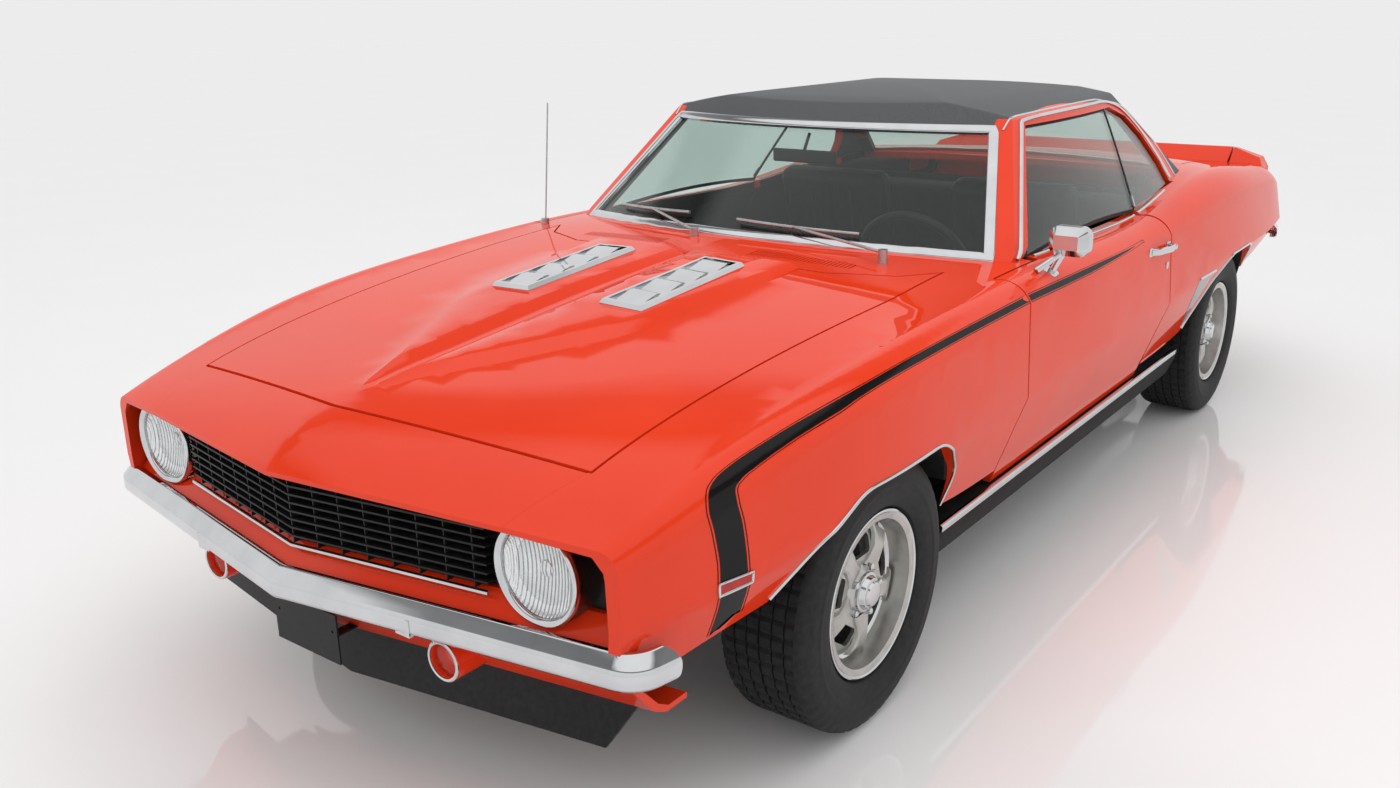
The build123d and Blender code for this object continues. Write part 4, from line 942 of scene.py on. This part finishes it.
def tread_tyre():
    """A tyre with grooves and blocks in its tread."""
    right = [(x, radius, "side") for x, radius in TYRE_SIDE] + [(84, 317.8, "rib")]
    for centre in TREAD_RIBS:
        right += [(centre + 7, 317.8, "rib"), (centre - 13, 317.9, "rib"), (centre - 13.5, 311, "groove"),
                  (centre - 16.5, 311, "groove"), (centre - 17, 317.9, "rib")]
    right = [p for p in right if p[0] > 0]
    profile = right + [(-x, radius, kind) for x, radius, kind in reversed(right)]
    points = []
    for i in range(TREAD_STEPS):
        angle = 2 * pi * i / TREAD_STEPS
        for x, radius, kind in profile:
            depth = 0.0
            if i % 4 == 0 and kind == "rib":
                depth = 5.0
            elif i % 4 == 0 and kind == "side" and SHOULDER[0] < radius < SHOULDER[1]:
                depth = 3.0
            points.append(Vector((x, (radius - depth) * cos(angle), (radius - depth) * sin(angle))))
    return recalculated(points, grid_faces(TREAD_STEPS, len(profile), True, True))


def wheel_centre():
    """The five raised spokes."""
    shapes = []
    for i in range(5):
        turn = Matrix.Rotation(radians(72 * i + 36), 3, "X")
        points = []
        for r, half, x in SPOKE_ROWS:
            across = ((x - 10, -half - 3), (x - 1.5, -half), (x + 3, -half + 5), (x + 3, half - 5),
                      (x - 1.5, half), (x - 10, half + 3))
            points += [turn @ Vector((a, b, r)) for a, b in across]
        shapes.append(recalculated(points, grid_faces(len(SPOKE_ROWS), 6)))
    return joined(shapes)


def hub_cap():
    """The cap and its five nuts."""
    outward = (1, 0, 0)
    shapes = [turned((0, 0, 0), outward, CAP, 56, False)]
    for i in range(5):
        angle = radians(72 * i)
        place = Vector((NUT_X, NUT_RADIUS * cos(angle), NUT_RADIUS * sin(angle)))
        shapes.append(turned(place, outward, NUT, 6, False))
    return joined(shapes)


def make_wheels():
    tyre, centre, cap = tread_tyre(), wheel_centre(), hub_cap()
    ring = turned((0, 0, 0), (1, 0, 0), TRIM_RING, 96)
    for end in ("front", "rear"):
        for side, sign in SIDES:
            place = Matrix.Translation((sign * WHEEL_X, AXLE_Y[end], WHEEL_Z))
            if sign < 0:
                place = place @ Matrix.Rotation(pi, 4, "Z")
            wheel, body = f"{end}_{side}", f"wheel_{end}_{side}"
            made = piece(f"tyre_look_{wheel}", moved(tyre, place), "tyre", body, 30)
            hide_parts(f"tyre_{wheel}")
            piece(f"trim_ring_{wheel}", moved(ring, place), "chrome", body)
            piece(f"wheel_centre_{wheel}", moved(centre, place), "wheel_metal", body, 25)
            piece(f"hub_cap_{wheel}", moved(cap, place), "chrome", body, 30)


# ---- cabin ----
UPPER_SIDE = 0.3          # of a block from -0.5 to 0.5
PLEATED = (0.78, 0.86)    # the share of a pad's width and length that is sewn
SEAM_SHARE = 0.16         # half a seam's width, as a share of the pitch


def pad(size, radius, ribs, crown=10, cuts=60):
    """A stuffed block with rounded edges, a crowned top and sewn ribs in its upper side."""
    work = bmesh.new()
    bmesh.ops.create_cube(work, size=1)
    bmesh.ops.subdivide_edges(work, edges=work.edges[:], cuts=cuts, use_grid_fill=True)
    half = Vector(size) / 2
    for vertex in work.verts:
        u = vertex.co.copy() * 2
        place = Vector([c * h for c, h in zip(u, half)])
        inner = Vector([max(-h + radius, min(h - radius, c)) for c, h in zip(place, half)])
        outer = place - inner
        if outer.length > 1e-6:
            place = inner + outer.normalized() * radius
        if vertex.co.z > UPPER_SIDE:
            place.z += crown * (1 - u.x ** 2) * (1 - u.y ** 2)
            if abs(u.x) < PLEATED[0] and abs(u.y) < PLEATED[1]:
                place.z -= pleat(place.x, ribs)
        vertex.co = place
    return unpacked(work)


def pleat(x, pitch, depth=7.0):
    """How deep the sewn upholstery lies at x."""
    share = abs((x / pitch) % 1.0 - 0.5)
    return depth * max(0.0, 1 - share / SEAM_SHARE)


def at(x, y, z, lean):
    """A place, leant back by some degrees."""
    return Matrix.Translation((x, y, z)) @ Matrix.Rotation(radians(lean), 4, "X")


SEAT_X = 358


def make_seats():
    seats, bases = [], []
    for _, sign in SIDES:
        x = sign * SEAT_X
        seats.append(moved(pad((456, 520, 118), 38, 34), at(x, 148, 395, -4)))
        seats.append(moved(pad((448, 560, 96), 38, 34, 14), at(x, 492, 706, 106)))
        bases.append(block((x - 190, -60, 286), (x + 190, 350, 345), 6))
    made = piece("front_seat_pads", joined(seats), "black_vinyl", smooth_angle=80)
    made = piece("front_seat_bases", joined(bases), "black_vinyl")
    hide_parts("front_seats")
    bench = [moved(pad((1116, 400, 104), 36, 40, cuts=70), at(0, 868, 506, 0)),
             moved(pad((1116, 330, 84), 34, 40, cuts=70), at(0, 1088, 702, 102))]
    made = piece("rear_bench_pads", joined(bench), "black_vinyl", smooth_angle=80)
    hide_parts("rear_bench")


MIRROR_X, MIRROR_Z = 20, 1128
MIRROR_STEM_Z = (1140, 1195)
GAUGES_X = (290, 426)
GAUGE_RING = [(0, 52), (6, 52), (8, 49), (6, 46), (0, 46)]


def make_cabin():
    make_seats()
    mirror = moved(block((-112, -7, -20), (112, 7, 20), 6), Matrix.Translation((MIRROR_X, -400, MIRROR_Z)))
    low, high = MIRROR_STEM_Z
    stem = rod((MIRROR_X, -404, low), (MIRROR_X, windshield_point(MIRROR_X, high).y + 16, high), 5, 5)
    piece("inside_mirror", joined([mirror, stem]), "black_plastic")
    face = moved(block((-107, -1, -16), (107, 1, 16)), Matrix.Translation((MIRROR_X, -392, MIRROR_Z)))
    piece("inside_mirror_face", face)
    gauges = [turned((x, -462, 790), (0, 1, -0.1), GAUGE_RING, 40) for x in GAUGES_X]
    piece("gauge_rings", joined(gauges))


TAIL_LAMP_X, TAIL_LAMP_Z, TAIL_LAMP_EDGE = (300, 620), (680, 780), 4
BEHIND_CAR = 2600


def make_rear():
    """The frames round the tail lamps."""
    tree = tree_of("tail_lamps")
    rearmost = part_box("tail_lamps")[1].y * 1000
    (x0, x1), (z0, z1), edge = TAIL_LAMP_X, TAIL_LAMP_Z, TAIL_LAMP_EDGE
    corners = [(x0, z0), (x1, z0), (x1, z1), (x0, z1)]
    path = []
    for start, end in zip(corners, corners[1:] + corners[:1]):
        for x, z in steps_between(start, end, 8)[:-1]:
            inner = Vector((max(x0 + edge, min(x1 - edge, x)), BEHIND_CAR, max(z0 + edge, min(z1 - edge, z))))
            hit = tree.ray_cast(inner, Vector((0, -1, 0)))[0]
            path.append(Vector((x, hit.y if hit else rearmost - 10, z)))
    profile = half_round(10, 5, 3)
    pair("tail_lamp_frame", sweep(path, profile, [Vector((0, 1, 0))] * len(path), closed=True))


# ---- stage and light ----
def background_mix(net, seen, lit):
    """Camera, mirror and through-glass rays see "seen"; the object is lit by "lit"."""
    rays = node(net, "LightPath").outputs
    either = rays["Is Camera Ray"]
    for name in ("Is Glossy Ray", "Is Transmission Ray"):
        either = worked_out(net, "MAXIMUM", either, rays[name])
    return mixed(net, either, lit, seen)


WORLD_LIGHT = 0.92
BACKDROP = 0.885          # the studio's walls in mirrors
FAR_FLOOR = 0.839         # the floor's tone far off, which the walls behind the object share
# what mirrors see at each height of a ray: walls, a darker band and a bright ceiling
MIRRORED = ((0.0, BACKDROP), (0.52, BACKDROP), (0.58, 0.30), (0.70, 0.22), (0.76, 1.0), (1.0, 1.05))
FLOOR_MIRRORS = (0.10, 0.26)      # its least and its largest share of mirrored light


def make_world():
    """An even pale studio; mirrors see its walls, a darker band above them and a bright ceiling."""
    world = bpy.data.worlds.new("studio")
    bpy.context.scene.world = world
    world.use_nodes = True
    net = world.node_tree
    lit = net.nodes["Background"]
    set_sockets(net, lit, {"Color": (1, 1, 1, 1), "Strength": WORLD_LIGHT})
    place = node(net, "TexCoord").outputs["Generated"]
    height = node(net, "SeparateXYZ", {"Vector": place}).outputs["Z"]
    ramp = node(net, "ValToRGB", {"Fac": height})
    elements = ramp.color_ramp.elements
    elements[0].position, elements[1].position = MIRRORED[0][0], MIRRORED[-1][0]
    for position, _ in MIRRORED[1:-1]:
        elements.new(position)
    for element, (position, grey) in zip(elements, MIRRORED):
        element.position = position
        element.color = (grey, grey, grey, 1)
    mirror = node(net, "Background", {"Color": ramp.outputs["Color"]})
    plain = node(net, "Background", {"Color": (FAR_FLOOR, FAR_FLOOR, FAR_FLOOR, 1)})
    seen = mixed(net, node(net, "LightPath").outputs["Is Camera Ray"], mirror, plain)
    shown = background_mix(net, seen, lit).outputs[0]
    net.links.new(shown, net.nodes["World Output"].inputs["Surface"])


def make_floor():
    """Pale, with a soft mirror image of what stands on it."""
    bpy.ops.mesh.primitive_circle_add(vertices=96, radius=60, fill_type="NGON", location=(0, 0, 0))
    floor = bpy.context.object
    floor.name = "floor"
    material, net = new_material("floor")
    net.nodes.remove(net.nodes["Principled BSDF"])
    colour = two_tone(net, noise(net, 1.5), (0.955,) * 3, (0.965,) * 3)
    matt = node(net, "BsdfDiffuse", {"Color": colour})
    gloss = node(net, "BsdfGlossy", {"Roughness": 0.05})
    least, most = FLOOR_MIRRORS
    show(net, mixed(net, worked_out(net, "MINIMUM", glance(net, least), most), matt, gloss))
    floor.data.materials.append(material)


LAMP_PLACE = Vector((0.5, -0.5, 4.5))
LAMP_SIZE = (2.2, 5.5)
LAMP_WATTS = 45


def make_light():
    """One large soft lamp over the car, aimed at it. The floor doesn't mirror it."""
    data = bpy.data.lights.new("top_light", "AREA")
    data.shape = "RECTANGLE"
    data.size, data.size_y = LAMP_SIZE
    data.energy = LAMP_WATTS
    lamp = bpy.data.objects.new("top_light", data)
    bpy.context.scene.collection.objects.link(lamp)
    lamp.visible_glossy = False
    lamp.location = LAMP_PLACE
    lamp.rotation_euler = (-LAMP_PLACE).to_track_quat("-Z", "Y").to_euler()


bpy.context.scene.view_settings.view_transform = "Standard"
bpy.context.scene.cycles.use_denoising = True
make_camera()
make_world()
make_floor()
make_light()
finish_nodes()
make_stripes()
make_gills()
make_windshield_trim()
make_roof_trim()
make_glass_trim()
make_belt()
make_side_trim()
make_marker()
make_door_furniture()
make_lamps()
make_wheels()
make_cabin()
make_rear()
